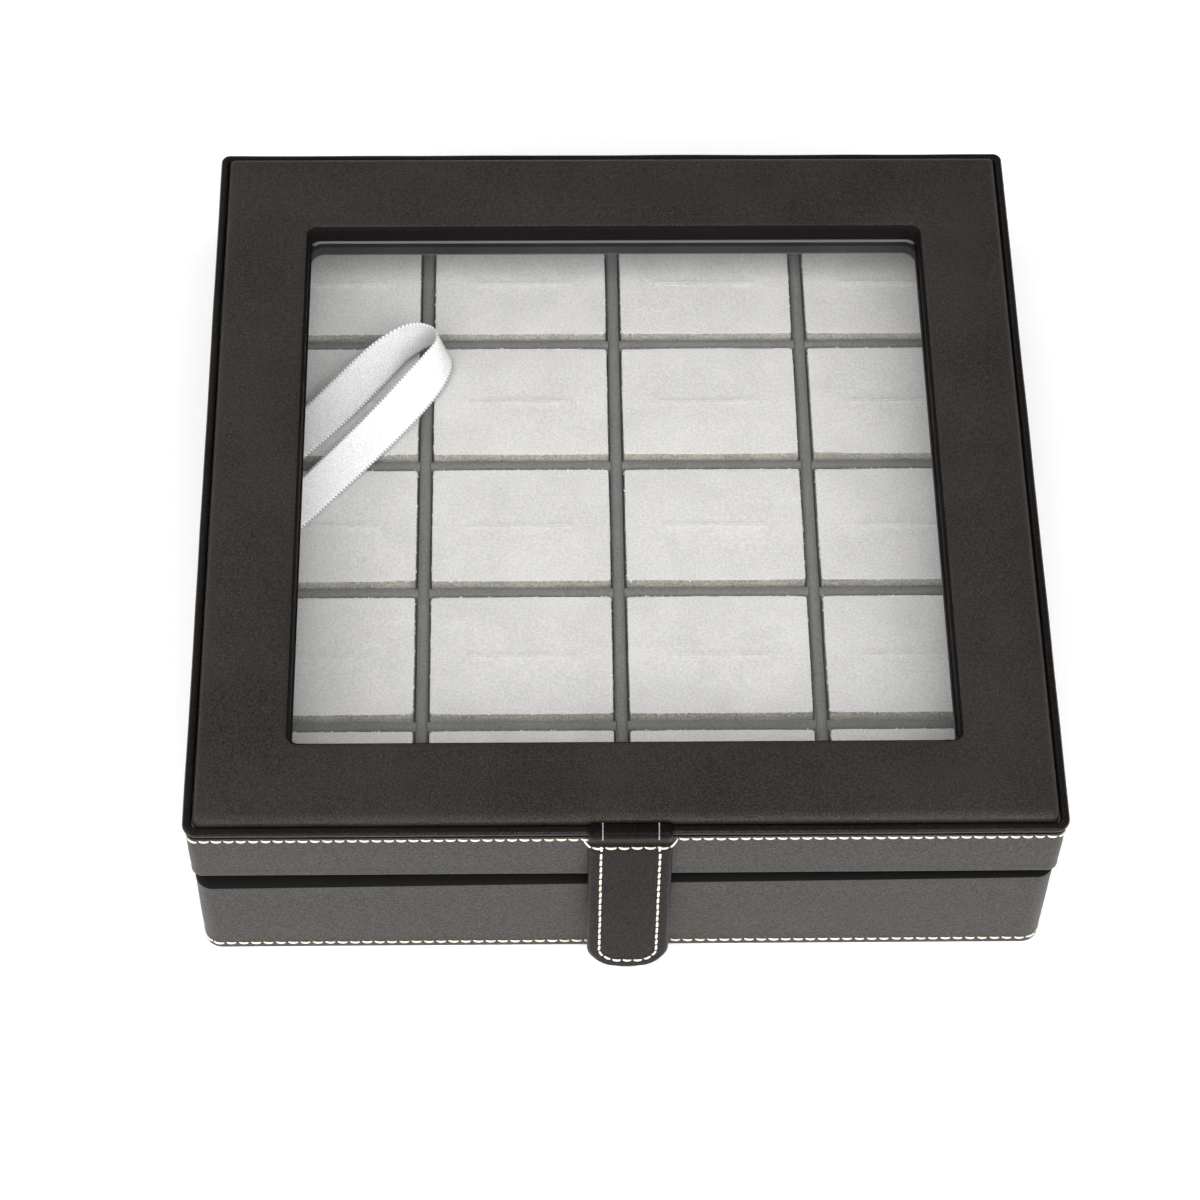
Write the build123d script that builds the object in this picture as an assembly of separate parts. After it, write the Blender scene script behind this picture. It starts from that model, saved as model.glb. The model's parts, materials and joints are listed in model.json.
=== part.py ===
from build123d import *
import os
from math import asin, cos, degrees, radians, sin

# A leather-covered display box for cufflinks, in millimetres.
# A base and a hinged lid of thin board are wrapped in leather. The lid has a window under a
# padded leather frame with a piped edge, and a strap that folds down over the front as a clasp.
# A lift-out tray holds twenty slit pads between a grid of dividers, over a lined storage well.
# The origin is the centre of the underside, +Z is up and the front is towards -Y.

# ---- plan sizes ----
BOX_SIZE = 240.0            # over the piping, both ways: the box is square
LEATHER = 1.0
LINING = 0.4
BOARD = 3.2
PIPING_RADIUS = 1.3
BASE_SIZE = 238.0           # over the leather of the base
LID_SIZE = 238.6            # over the leather of the lid's walls
BASE_CORNER = 5.0           # upright corners, over the leather
LID_CORNER = 3.0
SEAM_GAP = 0.2              # between the piping and the padded top

# ---- heights ----
FELT = 1.2                  # the felt stands a little proud of the leather turned under
FELT_PROUD = 0.2
FLOOR_BOARD = 3.0
BASE_TOP = 40.6             # top of the leather on the base's rim
LID_BOTTOM = 41.8           # lower edge of the leather on the lid
TOP_BOARD_TOP = 64.2
TOP_BOARD = 2.5
CROWN_TOP = 69.0            # highest point of the padded frame
GLASS = 2.0
RETAINER_BOTTOM = 56.5

# ---- edge rounding of the leather ----
BASE_TOP_ROUND = 2.4
BASE_BOTTOM_ROUND = 1.5
LID_BOTTOM_ROUND = 1.6
PAD_OUTER_ROUND = 2.2
PAD_WINDOW_ROUND = 2.6
PAD_CORNER_RADIUS = 3.4     # upright corners of the padded frame

# ---- window ----
WINDOW_WIDTH = 184.0
WINDOW_DEPTH = 180.8
WINDOW_Y = -1.6             # the back rail of the frame is a little wider than the front one
WINDOW_CORNER = 3.0
GLASS_REBATE = 5.0          # how far the pane reaches under the frame on each side
GLASS_PLAY = 0.2

# ---- tray ----
COLUMNS = 4
ROWS = 5
COLUMN_PITCH = 57.0
ROW_PITCH = 45.6
DIVIDER = 3.2
DIVIDER_ROUND = 1.5
NOTCH_PLAY = 0.1
TRAY_WALL = 1.6
TRAY_BOTTOM = 22.0
TRAY_FLOOR = 2.0
TRAY_WALL_TOP = 38.6
DIVIDER_TOP = 38.2
PAD_TOP = 39.0
PAD_CROWN = 0.4             # rise of a pad's top from its corners to its middle
PAD_GAP = 0.5               # beside each pad
PAD_CORNER = 1.0
PAD_EDGE_ROUND = 0.6
SLIT_LENGTH = 30.0
SLIT_WIDTH = 0.6
SLIT_DEPTH = 9.0
LEDGE = 2.5                 # strips that the tray rests on

# ---- hinges ----
HINGE_LENGTH = 22.0
HINGE_X = 72.0              # from the middle of the box to the middle of each hinge
LEAF = 0.8
KNUCKLE_RADIUS = 1.7
KNUCKLE_COUNT = 5
KNUCKLE_GAP = 0.15
PIN_RADIUS = 0.80
PIN_PLAY = 0.05
PIN_HEAD_RADIUS = 1.25
PIN_HEAD = 0.5
HINGE_CLEARANCE = 0.2       # from the knuckles to the back of the lid
SCREW_RADIUS = 0.8
SCREW_HEAD_RADIUS = 1.35
SCREW_HEAD = 0.6
SCREW_LENGTH = 6.0
SCREW_SPREAD = 7.0          # from the middle of a hinge to each screw
SCREW_PLAY = 0.05

# ---- clasp strap ----
STRAP_X = 1.0               # the strap is sewn on a millimetre right of the middle
STRAP_WIDTH = 22.8
STRAP_LAYER = 1.0
STRAP_OVER_PIPING = 1.1     # the face layer alone passes over the piping
STRAP_CORNER = 9.5
STRAP_EDGE_ROUND = 0.3
TAB_LENGTH = 58.3           # from the fold to the tip
TAB_REST_ANGLE = 5.4        # degrees that the loose tab stands off, tip forward
ANCHOR_BOTTOM = 61.6
FOLD_GAP = 0.3
PIVOT_Y = -120.5
ANCHOR_CHAMFER = 0.7
PIPING_CLEARANCE = 0.1

# ---- press stud ----
SNAP_RADIUS = 5.0
SNAP_DISTANCE = 43.3        # from the fold to the press stud
SOCKET_HEIGHT = 2.0
SOCKET_BORE = 2.1
SOCKET_BORE_DEPTH = 1.5
STUD_FLANGE = 0.4
STUD_RADIUS = 1.8
STUD_HEIGHT = 1.9           # over the leather of the base
SNAP_STANDOFF = 2.6         # from the base to the back of the tab when it is pressed home
CAP_RADIUS = 4.5
CAP_THICKNESS = 0.4
SHANK_RADIUS = 1.5
SHANK_PLAY = 0.05

# ---- ribbon ----
RIBBON_WIDTH = 12.0
RIBBON_THICKNESS = 0.3
RIBBON_ROOT_Y = 13.0        # each end is glued to the tray's left wall this far from the middle
RIBBON_ROOT_Z = 30.0
RIBBON_LEAVES_Z = 38.5      # where it leaves the wall in a bend
RIBBON_BEND = 3.0
# Middle of the ribbon, with the rise of its upper edge over its lower one, and the plan
# direction from the lower edge to the upper one. It runs over the pads, stands on edge round
# the tip of the loop and lies down again on its way back.
RIBBON_STATIONS = [
    ((-106.0, 18.2, 42.5), 1.5, 110.0),
    ((-95.5, 29.6, 41.9), 2.5, 131.0),
    ((-83.5, 42.6, 42.9), 4.7, 137.0),
    ((-70.3, 57.0, 44.9), 8.4, 131.0),
    ((-62.3, 63.2, 46.2), 11.0, 95.0),
    ((-54.9, 64.9, 46.7), 11.8, 235.0),
    ((-51.6, 60.2, 46.3), 11.2, 185.0),
    ((-54.0, 54.2, 45.2), 9.4, 160.0),
    ((-59.8, 46.4, 43.7), 6.8, 147.0),
    ((-69.5, 34.6, 42.1), 4.0, 141.0),
    ((-85.5, 15.8, 41.4), 2.2, 136.0),
    ((-98.5, 0.6, 41.6), 1.6, 126.0),
    ((-106.5, -9.0, 42.4), 1.0, 110.0),
]

# ---- sizes that follow ----
BASE_BOARDS = BASE_SIZE - 2 * LEATHER
BASE_BOARD_TOP = BASE_TOP - LEATHER
BASE_CAVITY = BASE_BOARDS - 2 * BOARD
BASE_INSIDE = BASE_CAVITY - 2 * LINING
FLOOR_TOP = FELT + FLOOR_BOARD
LID_BOARDS = LID_SIZE - 2 * LEATHER
LID_BOARD_BOTTOM = LID_BOTTOM + LEATHER
LID_BOARD_TOP = TOP_BOARD_TOP - TOP_BOARD
LID_CAVITY = LID_BOARDS - 2 * BOARD
LID_INSIDE = LID_CAVITY - 2 * LINING
BASE_BOARD_CORNER = BASE_CORNER - LEATHER
LID_BOARD_CORNER = LID_CORNER - LEATHER
OPENING_CORNER = WINDOW_CORNER + LEATHER
PIPING_PATH = BOX_SIZE - 2 * PIPING_RADIUS
PIPING_Z = TOP_BOARD_TOP + PIPING_RADIUS
FRAME_SIZE = BOX_SIZE - 4 * PIPING_RADIUS - 2 * SEAM_GAP
TRAY_WIDTH = COLUMNS * COLUMN_PITCH - DIVIDER
TRAY_DEPTH = ROWS * ROW_PITCH - DIVIDER
TRAY_FLOOR_TOP = TRAY_BOTTOM + TRAY_FLOOR
NOTCH_Z = (TRAY_FLOOR_TOP + DIVIDER_TOP) / 2
HINGE_Y = LID_SIZE / 2 + HINGE_CLEARANCE + KNUCKLE_RADIUS
HINGE_Z = (BASE_TOP + LID_BOTTOM) / 2
HINGE_SCREW_Y = BASE_BOARDS / 2 - BOARD / 2 - 0.25
KNUCKLE = (HINGE_LENGTH - (KNUCKLE_COUNT - 1) * KNUCKLE_GAP) / KNUCKLE_COUNT
PIVOT_Z = ANCHOR_BOTTOM - FOLD_GAP - STRAP_LAYER
HOME_OFFSET = BASE_SIZE / 2 + SNAP_STANDOFF + STRAP_LAYER + PIVOT_Y
TAB_HOME_ANGLE = degrees(asin(HOME_OFFSET / SNAP_DISTANCE))
STUD_Z = (PIVOT_Z - SNAP_DISTANCE * cos(radians(TAB_HOME_ANGLE))
          + (STRAP_LAYER + SOCKET_HEIGHT) * sin(radians(TAB_HOME_ANGLE)))


def block(width, depth, bottom, top, corner=0.0, centre_y=0.0):
    """An upright block, with rounded upright corners where a radius is given."""
    if corner:
        outline = RectangleRounded(width, depth, corner)
    else:
        outline = Rectangle(width, depth)
    return Pos(0, centre_y, bottom) * extrude(outline, top - bottom)


def round_level_edges(solid, radius, highest):
    """Round every edge of the highest or lowest level face."""
    faces = solid.faces().sort_by(Axis.Z)
    face = faces[-1] if highest else faces[0]
    return fillet(face.edges(), radius)


def four_sides(ring, cavity):
    """Cut a square ring of board into its four butted sides, front and back full width."""
    half = cavity / 2
    reach = BOX_SIZE
    height = 200.0
    front = ring & Pos(0, -half - reach / 2, 0) * Box(2 * reach, reach, height)
    back = ring & Pos(0, half + reach / 2, 0) * Box(2 * reach, reach, height)
    between = Box(reach, cavity, height)
    left = ring & Pos(-reach / 2, 0, 0) * between
    right = ring & Pos(reach / 2, 0, 0) * between
    return front, back, left, right


# ---- base ----
def base_board_blank():
    """The whole outside of the base's boards, which the leather is stretched over."""
    blank = block(BASE_BOARDS, BASE_BOARDS, FELT, BASE_BOARD_TOP, BASE_BOARD_CORNER)
    blank = round_level_edges(blank, BASE_TOP_ROUND - LEATHER, highest=True)
    return round_level_edges(blank, BASE_BOTTOM_ROUND - LEATHER, highest=False)


def base_boards():
    cavity = block(BASE_CAVITY, BASE_CAVITY, 0, BASE_TOP)
    front, back, left, right = four_sides(base_board_blank() - cavity, BASE_CAVITY)
    back -= screw_holes(BASE_BOARD_TOP, downward=True)
    return {
        "base_floor_board": block(BASE_CAVITY, BASE_CAVITY, FELT, FLOOR_TOP),
        "base_front_board": front,
        "base_back_board": back,
        "base_left_board": left,
        "base_right_board": right,
    }


def base_leather():
    """One skin: under the edge of the floor, up the walls and over the rim."""
    bottom = FELT_PROUD
    skin = block(BASE_SIZE, BASE_SIZE, bottom, BASE_TOP, BASE_CORNER)
    skin = round_level_edges(skin, BASE_TOP_ROUND, highest=True)
    skin = round_level_edges(skin, BASE_BOTTOM_ROUND, highest=False)
    turned_under = 9.0
    felt_size = BASE_SIZE - 2 * turned_under
    skin -= base_board_blank()
    skin -= block(felt_size, felt_size, 0, FELT + 1, BASE_BOARD_CORNER)
    skin -= block(BASE_INSIDE, BASE_INSIDE, BASE_BOARD_TOP - 1, BASE_TOP + 1)
    return skin - leaf_recesses(BASE_BOARD_TOP, BASE_TOP)


def base_lining():
    walls = block(BASE_CAVITY, BASE_CAVITY, FLOOR_TOP, BASE_BOARD_TOP)
    return walls - block(BASE_INSIDE, BASE_INSIDE, FLOOR_TOP + LINING, BASE_TOP)


def underside_felt():
    margin = 9.3
    size = BASE_SIZE - 2 * margin
    return block(size, size, 0, FELT, BASE_BOARD_CORNER)


def tray_ledges():
    """Four strips that stand on the lined floor and carry the tray."""
    inner = BASE_INSIDE - 2 * LEDGE
    ring = block(BASE_INSIDE, BASE_INSIDE, FLOOR_TOP + LINING, TRAY_BOTTOM)
    ring -= block(inner, inner, 0, TRAY_BOTTOM)
    return Compound(children=[side.solid() for side in four_sides(ring, inner)])


def snap_stud():
    """Male half of the press stud: a flange and a post with a rounded, waisted head."""
    waist = 0.25
    flange = Cylinder(SNAP_RADIUS, STUD_FLANGE, align=(Align.CENTER, Align.CENTER, Align.MIN))
    post = Cylinder(STUD_RADIUS, STUD_HEIGHT, align=(Align.CENTER, Align.CENTER, Align.MIN))
    post = fillet(post.edges().sort_by(Axis.Z)[-1], 0.5)
    groove = Pos(0, 0, STUD_FLANGE + 0.3) * Torus(STUD_RADIUS + waist / 2, waist)
    face = Pos(STRAP_X, -BASE_SIZE / 2, STUD_Z)
    return face * Rot(X=90) * (flange + (post - groove))


# ---- lid ----
def lid_board_blank():
    blank = block(LID_BOARDS, LID_BOARDS, LID_BOARD_BOTTOM, TOP_BOARD_TOP, LID_BOARD_CORNER)
    return round_level_edges(blank, LID_BOTTOM_ROUND - LEATHER, highest=False)


def window_opening(bottom, top, margin=0.0, corner=WINDOW_CORNER):
    """The window's hole, wider by a margin on each side."""
    width = WINDOW_WIDTH + 2 * margin
    depth = WINDOW_DEPTH + 2 * margin
    return block(width, depth, bottom, top, corner, WINDOW_Y)


def lid_boards():
    cavity = block(LID_CAVITY, LID_CAVITY, 0, CROWN_TOP)
    walls = lid_board_blank() & block(BOX_SIZE, BOX_SIZE, 0, LID_BOARD_TOP)
    front, back, left, right = four_sides(walls - cavity, LID_CAVITY)
    back -= screw_holes(LID_BOARD_BOTTOM, downward=False)
    top = block(LID_BOARDS, LID_BOARDS, LID_BOARD_TOP, TOP_BOARD_TOP, LID_BOARD_CORNER)
    top -= window_opening(0, CROWN_TOP, LEATHER, OPENING_CORNER)
    return {
        "lid_top_board": top,
        "lid_front_board": front,
        "lid_back_board": back,
        "lid_left_board": left,
        "lid_right_board": right,
    }


def lid_side_leather():
    skin = block(LID_SIZE, LID_SIZE, LID_BOTTOM, TOP_BOARD_TOP, LID_CORNER)
    skin = round_level_edges(skin, LID_BOTTOM_ROUND, highest=False)
    skin -= lid_board_blank()
    skin -= block(LID_INSIDE, LID_INSIDE, 0, LID_BOARD_BOTTOM + 1)
    return skin - leaf_recesses(LID_BOTTOM, LID_BOARD_BOTTOM)


def padded_frame(size, corner, top, opening, outer_round, window_round):
    """A picture frame with a pillowed top, rounded to the outside and into the window."""
    frame = block(size, size, TOP_BOARD_TOP, top, corner) - opening
    upper = frame.faces().sort_by(Axis.Z)[-1]
    frame = fillet(upper.outer_wire().edges(), outer_round)
    upper = frame.faces().sort_by(Axis.Z)[-1]
    return fillet(upper.inner_wires()[0].edges(), window_round)


def lid_padding():
    return padded_frame(FRAME_SIZE - 2 * LEATHER, PAD_CORNER_RADIUS - LEATHER, CROWN_TOP - LEATHER,
                        window_opening(0, CROWN_TOP, LEATHER, OPENING_CORNER),
                        PAD_OUTER_ROUND - LEATHER, PAD_WINDOW_ROUND - LEATHER)


def lid_top_leather():
    """Leather over the padding, turned down through the window onto the glass."""
    frame = padded_frame(FRAME_SIZE, PAD_CORNER_RADIUS, CROWN_TOP, window_opening(0, CROWN_TOP),
                         PAD_OUTER_ROUND, PAD_WINDOW_ROUND)
    turned_down = window_opening(LID_BOARD_TOP, TOP_BOARD_TOP, LEATHER, OPENING_CORNER)
    turned_down -= window_opening(0, CROWN_TOP)
    return frame - lid_padding() + turned_down


def lid_piping():
    path = Pos(0, 0, PIPING_Z) * RectangleRounded(PIPING_PATH, PIPING_PATH, LID_CORNER - 0.2)
    path = path.face().outer_wire()
    start = Plane(origin=path @ 0, z_dir=path % 0)
    return sweep(start * Circle(PIPING_RADIUS), path=path)


def window_glass():
    return window_opening(LID_BOARD_TOP - GLASS, LID_BOARD_TOP, GLASS_REBATE, 2.0)


def glass_retainer():
    """A rebated frame under the top board that holds the pane up against the leather."""
    frame = block(LID_CAVITY, LID_CAVITY, RETAINER_BOTTOM, LID_BOARD_TOP)
    frame -= window_opening(0, CROWN_TOP, 0, OPENING_CORNER)
    rebate_bottom = LID_BOARD_TOP - GLASS
    return frame - window_opening(rebate_bottom, CROWN_TOP, GLASS_REBATE + GLASS_PLAY, 2.0)


def lid_lining():
    lining = block(LID_CAVITY, LID_CAVITY, LID_BOARD_BOTTOM, RETAINER_BOTTOM)
    lining -= block(LID_INSIDE, LID_INSIDE, 0, RETAINER_BOTTOM - LINING)
    return lining - window_opening(0, CROWN_TOP, 0, OPENING_CORNER)


# ---- hinges ----
def hinge_places():
    return [Pos(-HINGE_X, 0, 0), Pos(HINGE_X, 0, 0)]


def screw_places():
    return [Pos(side * HINGE_X + way * SCREW_SPREAD, HINGE_SCREW_Y, 0)
            for side in (-1, 1) for way in (-1, 1)]


def along_x(radius, length, x, y, z):
    """A cylinder along X, from x onwards."""
    low = (Align.CENTER, Align.CENTER, Align.MIN)
    return Pos(x, y, z) * Rot(Y=90) * Cylinder(radius, length, align=low)


def leaf_recesses(bottom, top):
    """Room for the hinge leaves in the leather of a rim."""
    play = 0.1
    front = HINGE_SCREW_Y - 1.6
    back = LID_SIZE / 2 + 1
    middle = (front + back) / 2
    room = Box(HINGE_LENGTH + 2 * play, back - front, top - bottom + 1)
    z = (bottom + top) / 2 + (0.5 if bottom == BASE_BOARD_TOP else -0.5)
    return [place * Pos(0, middle, z) * room for place in hinge_places()]


def hinge_leaf(place, on_lid):
    """A flat leaf with its share of the knuckles, bored for the pin and the screws."""
    first = 1 if on_lid else 0
    plate_z = LID_BOARD_BOTTOM - LEAF if on_lid else BASE_BOARD_TOP
    front = HINGE_SCREW_Y - 1.5
    free_edge = HINGE_Y - KNUCKLE_RADIUS - HINGE_CLEARANCE
    tongue_end = HINGE_Y - 0.5
    start = -HINGE_LENGTH / 2
    low = (Align.MIN, Align.MIN, Align.MIN)
    leaf = Pos(start, front, plate_z) * Box(HINGE_LENGTH, free_edge - front, LEAF, align=low)
    for number in range(first, KNUCKLE_COUNT, 2):
        x = start + number * (KNUCKLE + KNUCKLE_GAP)
        leaf += Pos(x, free_edge, plate_z) * Box(KNUCKLE, tongue_end - free_edge, LEAF, align=low)
        leaf += along_x(KNUCKLE_RADIUS, KNUCKLE, x, HINGE_Y, HINGE_Z)
    leaf -= along_x(PIN_RADIUS + PIN_PLAY, 2 * HINGE_LENGTH, 2 * start, HINGE_Y, HINGE_Z)
    for way in (-1, 1):
        hole = screw_shape(SCREW_PLAY)
        if on_lid:
            hole = Rot(X=180) * hole
        head_z = plate_z if on_lid else plate_z + LEAF
        leaf -= Pos(way * SCREW_SPREAD, HINGE_SCREW_Y, head_z) * hole
    return place * leaf


def hinge_pins():
    pins = []
    for place in hinge_places():
        half = HINGE_LENGTH / 2 + PIN_PLAY
        pin = along_x(PIN_RADIUS, 2 * half, -half, HINGE_Y, HINGE_Z)
        pin += along_x(PIN_HEAD_RADIUS, PIN_HEAD, half, HINGE_Y, HINGE_Z)
        pin += along_x(PIN_HEAD_RADIUS, PIN_HEAD, -half - PIN_HEAD, HINGE_Y, HINGE_Z)
        pins.append((place * pin).solid())
    return Compound(children=pins)


def screw_shape(play=0.0):
    """A countersunk screw pointing down, with the top of its head at the origin."""
    shank = Pos(0, 0, -SCREW_LENGTH / 2) * Cylinder(SCREW_RADIUS + play, SCREW_LENGTH)
    head = Pos(0, 0, -SCREW_HEAD / 2) * Cone(SCREW_RADIUS + play, SCREW_HEAD_RADIUS + play, SCREW_HEAD)
    return shank + head


def screw_holes(surface_z, downward):
    """Pilot holes from the edge of a back board into the wood."""
    depth = SCREW_LENGTH + 0.5
    middle = surface_z - depth / 2 if downward else surface_z + depth / 2
    hole = Cylinder(SCREW_RADIUS + SCREW_PLAY, depth)
    return [place * Pos(0, 0, middle) * hole for place in screw_places()]


def hinge_screws(on_lid):
    head_z = LID_BOARD_BOTTOM - LEAF if on_lid else BASE_BOARD_TOP + LEAF
    turn = Rot(X=180) if on_lid else Rot(X=0)
    screws = [place * Pos(0, 0, head_z) * turn * screw_shape() for place in screw_places()]
    return Compound(children=[screw.solid() for screw in screws])


# ---- clasp strap ----
def clasp_anchor():
    """The sewn end of the strap: over the piping and down to the fold."""
    centre_y = -PIPING_PATH / 2
    inner = PIPING_RADIUS + PIPING_CLEARANCE
    outer = inner + STRAP_OVER_PIPING

    def on_piping(radius, angle):
        return (centre_y - radius * cos(radians(angle)), PIPING_Z + radius * sin(radians(angle)))

    start, front, under = 112.0, 0.0, -30.0
    lid_face = -LID_SIZE / 2
    strap_face = lid_face - 2 * STRAP_LAYER
    outline = Polyline(on_piping(outer, front), (strap_face, 64.6),
                       (strap_face, ANCHOR_BOTTOM + ANCHOR_CHAMFER),
                       (strap_face + ANCHOR_CHAMFER, ANCHOR_BOTTOM), (lid_face, ANCHOR_BOTTOM),
                       (lid_face, 63.6), on_piping(inner, under))
    outline += ThreePointArc(on_piping(inner, under), on_piping(inner, 45), on_piping(inner, start))
    outline += Line(on_piping(inner, start), on_piping(outer, start))
    outline += ThreePointArc(on_piping(outer, start), on_piping(outer, 55), on_piping(outer, front))
    side = Plane(origin=(STRAP_X - STRAP_WIDTH / 2, 0, 0), x_dir=(0, 1, 0), z_dir=(1, 0, 0))
    return extrude(side * make_face(outline), STRAP_WIDTH)


def hang(shape):
    """Move a piece of the tab from its own frame, fold at the origin, to where it hangs."""
    return Pos(STRAP_X, PIVOT_Y, PIVOT_Z) * Rot(X=-TAB_REST_ANGLE) * shape


def tab_outline():
    """The tab seen from the front, from the fold down to its rounded tip."""
    outline = Pos(0, -TAB_LENGTH / 2) * RectangleRounded(STRAP_WIDTH, TAB_LENGTH, STRAP_CORNER)
    square_top = Pos(0, -TAB_LENGTH / 4) * Rectangle(STRAP_WIDTH, TAB_LENGTH / 2)
    return outline + square_top


def tab_layer(front):
    """One layer of the tab, with its end rounded about the fold."""
    toward = -1 if front else 1
    face = Plane(origin=(0, 0, 0), x_dir=(1, 0, 0), z_dir=(0, -1, 0)) * tab_outline()
    layer = extrude(face, STRAP_LAYER if front else -STRAP_LAYER)
    outside = layer.faces().sort_by(Axis.Y)[0 if front else -1]
    rim = [edge for edge in outside.edges() if edge.center().Z < -STRAP_EDGE_ROUND]
    layer = fillet(rim, STRAP_EDGE_ROUND)
    end = along_x(STRAP_LAYER, STRAP_WIDTH, -STRAP_WIDTH / 2, 0, 0)
    quarter = Box(STRAP_WIDTH, STRAP_LAYER, STRAP_LAYER)
    return layer + (end & Pos(0, toward * STRAP_LAYER / 2, STRAP_LAYER / 2) * quarter)


def at_snap(shape):
    """Turn a round piece made along +Z to point at the box, at the press stud's place."""
    return Pos(0, 0, -SNAP_DISTANCE) * Rot(X=-90) * shape


def disc(radius, bottom, top):
    low = (Align.CENTER, Align.CENTER, Align.MIN)
    return Pos(0, 0, bottom) * Cylinder(radius, top - bottom, align=low)


def clasp_tab():
    """The moving part of the strap, with the socket and its hidden cap."""
    face = tab_layer(front=True) - at_snap(disc(CAP_RADIUS + SHANK_PLAY, -CAP_THICKNESS, 0))
    back = tab_layer(front=False) - at_snap(disc(SHANK_RADIUS + SHANK_PLAY, -1, 2 * STRAP_LAYER))
    socket_floor = STRAP_LAYER + SOCKET_HEIGHT - SOCKET_BORE_DEPTH
    socket = disc(SNAP_RADIUS, STRAP_LAYER, STRAP_LAYER + SOCKET_HEIGHT)
    socket = fillet(socket.edges().sort_by(Axis.Z)[-1], 0.5)
    socket -= disc(SOCKET_BORE, socket_floor, 2 * STRAP_LAYER + SOCKET_HEIGHT)
    socket -= disc(SHANK_RADIUS + SHANK_PLAY, 0, socket_floor)
    cap = disc(CAP_RADIUS, -CAP_THICKNESS, 0) + disc(SHANK_RADIUS, 0, socket_floor)
    return {
        "clasp_tab_face": hang(face),
        "clasp_tab_back": hang(back),
        "snap_socket": hang(at_snap(socket)),
        "snap_cap": hang(at_snap(cap)),
    }


# ---- tray ----
def column_x(number):
    return (number - (COLUMNS - 1) / 2) * COLUMN_PITCH


def row_y(number):
    """Rows are counted from the back."""
    return ((ROWS - 1) / 2 - number) * ROW_PITCH


def tray_walls():
    outer = block(TRAY_WIDTH + 2 * TRAY_WALL, TRAY_DEPTH + 2 * TRAY_WALL, TRAY_BOTTOM, TRAY_WALL_TOP)
    ring = outer - block(TRAY_WIDTH, TRAY_DEPTH, 0, CROWN_TOP)
    return Compound(children=[side.solid() for side in four_sides(ring, TRAY_DEPTH)])


def divider(length):
    """A divider along X with a rounded top."""
    strip = block(length, DIVIDER, TRAY_FLOOR_TOP, DIVIDER_TOP)
    top = strip.faces().sort_by(Axis.Z)[-1]
    return fillet(top.edges().filter_by(Axis.X), DIVIDER_ROUND)


def long_dividers():
    """Dividers along X, notched from above where the cross dividers drop in."""
    notch = Box(DIVIDER + NOTCH_PLAY, 2 * DIVIDER, DIVIDER_TOP)
    strip = divider(TRAY_WIDTH)
    for number in range(COLUMNS - 1):
        x = column_x(number) + COLUMN_PITCH / 2
        strip -= Pos(x, 0, NOTCH_Z + DIVIDER_TOP / 2) * notch
    places = [row_y(number) - ROW_PITCH / 2 for number in range(ROWS - 1)]
    return Compound(children=[(Pos(0, y, 0) * strip).solid() for y in places])


def cross_dividers():
    """Dividers along Y, notched from below to straddle the long ones."""
    notch = Box(2 * DIVIDER, DIVIDER + NOTCH_PLAY, DIVIDER_TOP)
    strip = Rot(Z=90) * divider(TRAY_DEPTH)
    for number in range(ROWS - 1):
        y = row_y(number) - ROW_PITCH / 2
        strip -= Pos(0, y, NOTCH_Z - DIVIDER_TOP / 2) * notch
    places = [column_x(number) + COLUMN_PITCH / 2 for number in range(COLUMNS - 1)]
    return Compound(children=[(Pos(x, 0, 0) * strip).solid() for x in places])


def cufflink_pad():
    """A foam pad with a slightly crowned top and the slit that grips a cufflink."""
    width = COLUMN_PITCH - DIVIDER - 2 * PAD_GAP
    depth = ROW_PITCH - DIVIDER - 2 * PAD_GAP
    pad = block(width, depth, TRAY_FLOOR_TOP, PAD_TOP + 1, PAD_CORNER)
    reach = (width ** 2 + depth ** 2) ** 0.5 / 2
    dome = (reach ** 2 + PAD_CROWN ** 2) / (2 * PAD_CROWN)
    pad &= Pos(0, 0, PAD_TOP - dome) * Sphere(dome)
    top = pad.faces().sort_by(Axis.Z)[-1]
    pad = fillet(top.edges(), PAD_EDGE_ROUND)
    slit = Pos(0, 0, PAD_TOP - SLIT_DEPTH) * extrude(SlotOverall(SLIT_LENGTH, SLIT_WIDTH), 20)
    return pad - slit


def pads():
    pad = cufflink_pad()
    return {
        f"pad_r{row + 1}c{column + 1}": Pos(column_x(column), row_y(row), 0) * pad
        for row in range(ROWS) for column in range(COLUMNS)
    }


def ribbon_root(y):
    """Stations from the glued end up the wall and round the bend over the first pad."""
    wall_x = -TRAY_WIDTH / 2 + RIBBON_THICKNESS / 2 + 0.05
    stations = []
    for z in (RIBBON_ROOT_Z, RIBBON_ROOT_Z + 3, RIBBON_ROOT_Z + 6):
        stations.append(((wall_x, y, z), 0.0, 90.0))
    for turn in (0, 35, 70):
        x = wall_x + RIBBON_BEND * (1 - cos(radians(turn)))
        z = RIBBON_LEAVES_Z + RIBBON_BEND * sin(radians(turn))
        stations.append(((x, y + 0.02 * turn, z), 0.005 * turn, 90.0 + 0.1 * turn))
    return stations


def ribbon_edges(centre, rise, plan_angle):
    """The lower and the upper edge of the ribbon at one station."""
    level = (RIBBON_WIDTH ** 2 - rise ** 2) ** 0.5
    half = Vector(level * cos(radians(plan_angle)), level * sin(radians(plan_angle)), rise) / 2
    return Vector(*centre) - half, Vector(*centre) + half


def ribbon_pull():
    """The satin loop that lifts the tray, from the left wall over the pads and back."""
    stations = ribbon_root(RIBBON_ROOT_Y) + RIBBON_STATIONS + ribbon_root(-RIBBON_ROOT_Y)[::-1]
    edges = [ribbon_edges(*station) for station in stations]
    lower = Spline(*[pair[0] for pair in edges])
    upper = Spline(*[pair[1] for pair in edges])
    band = Face.make_surface_from_curves(lower.edge(), upper.edge())
    print(f"ribbon length {(lower.length + upper.length) / 2:.1f}")
    return thicken(band, amount=RIBBON_THICKNESS / 2, both=True)


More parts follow.
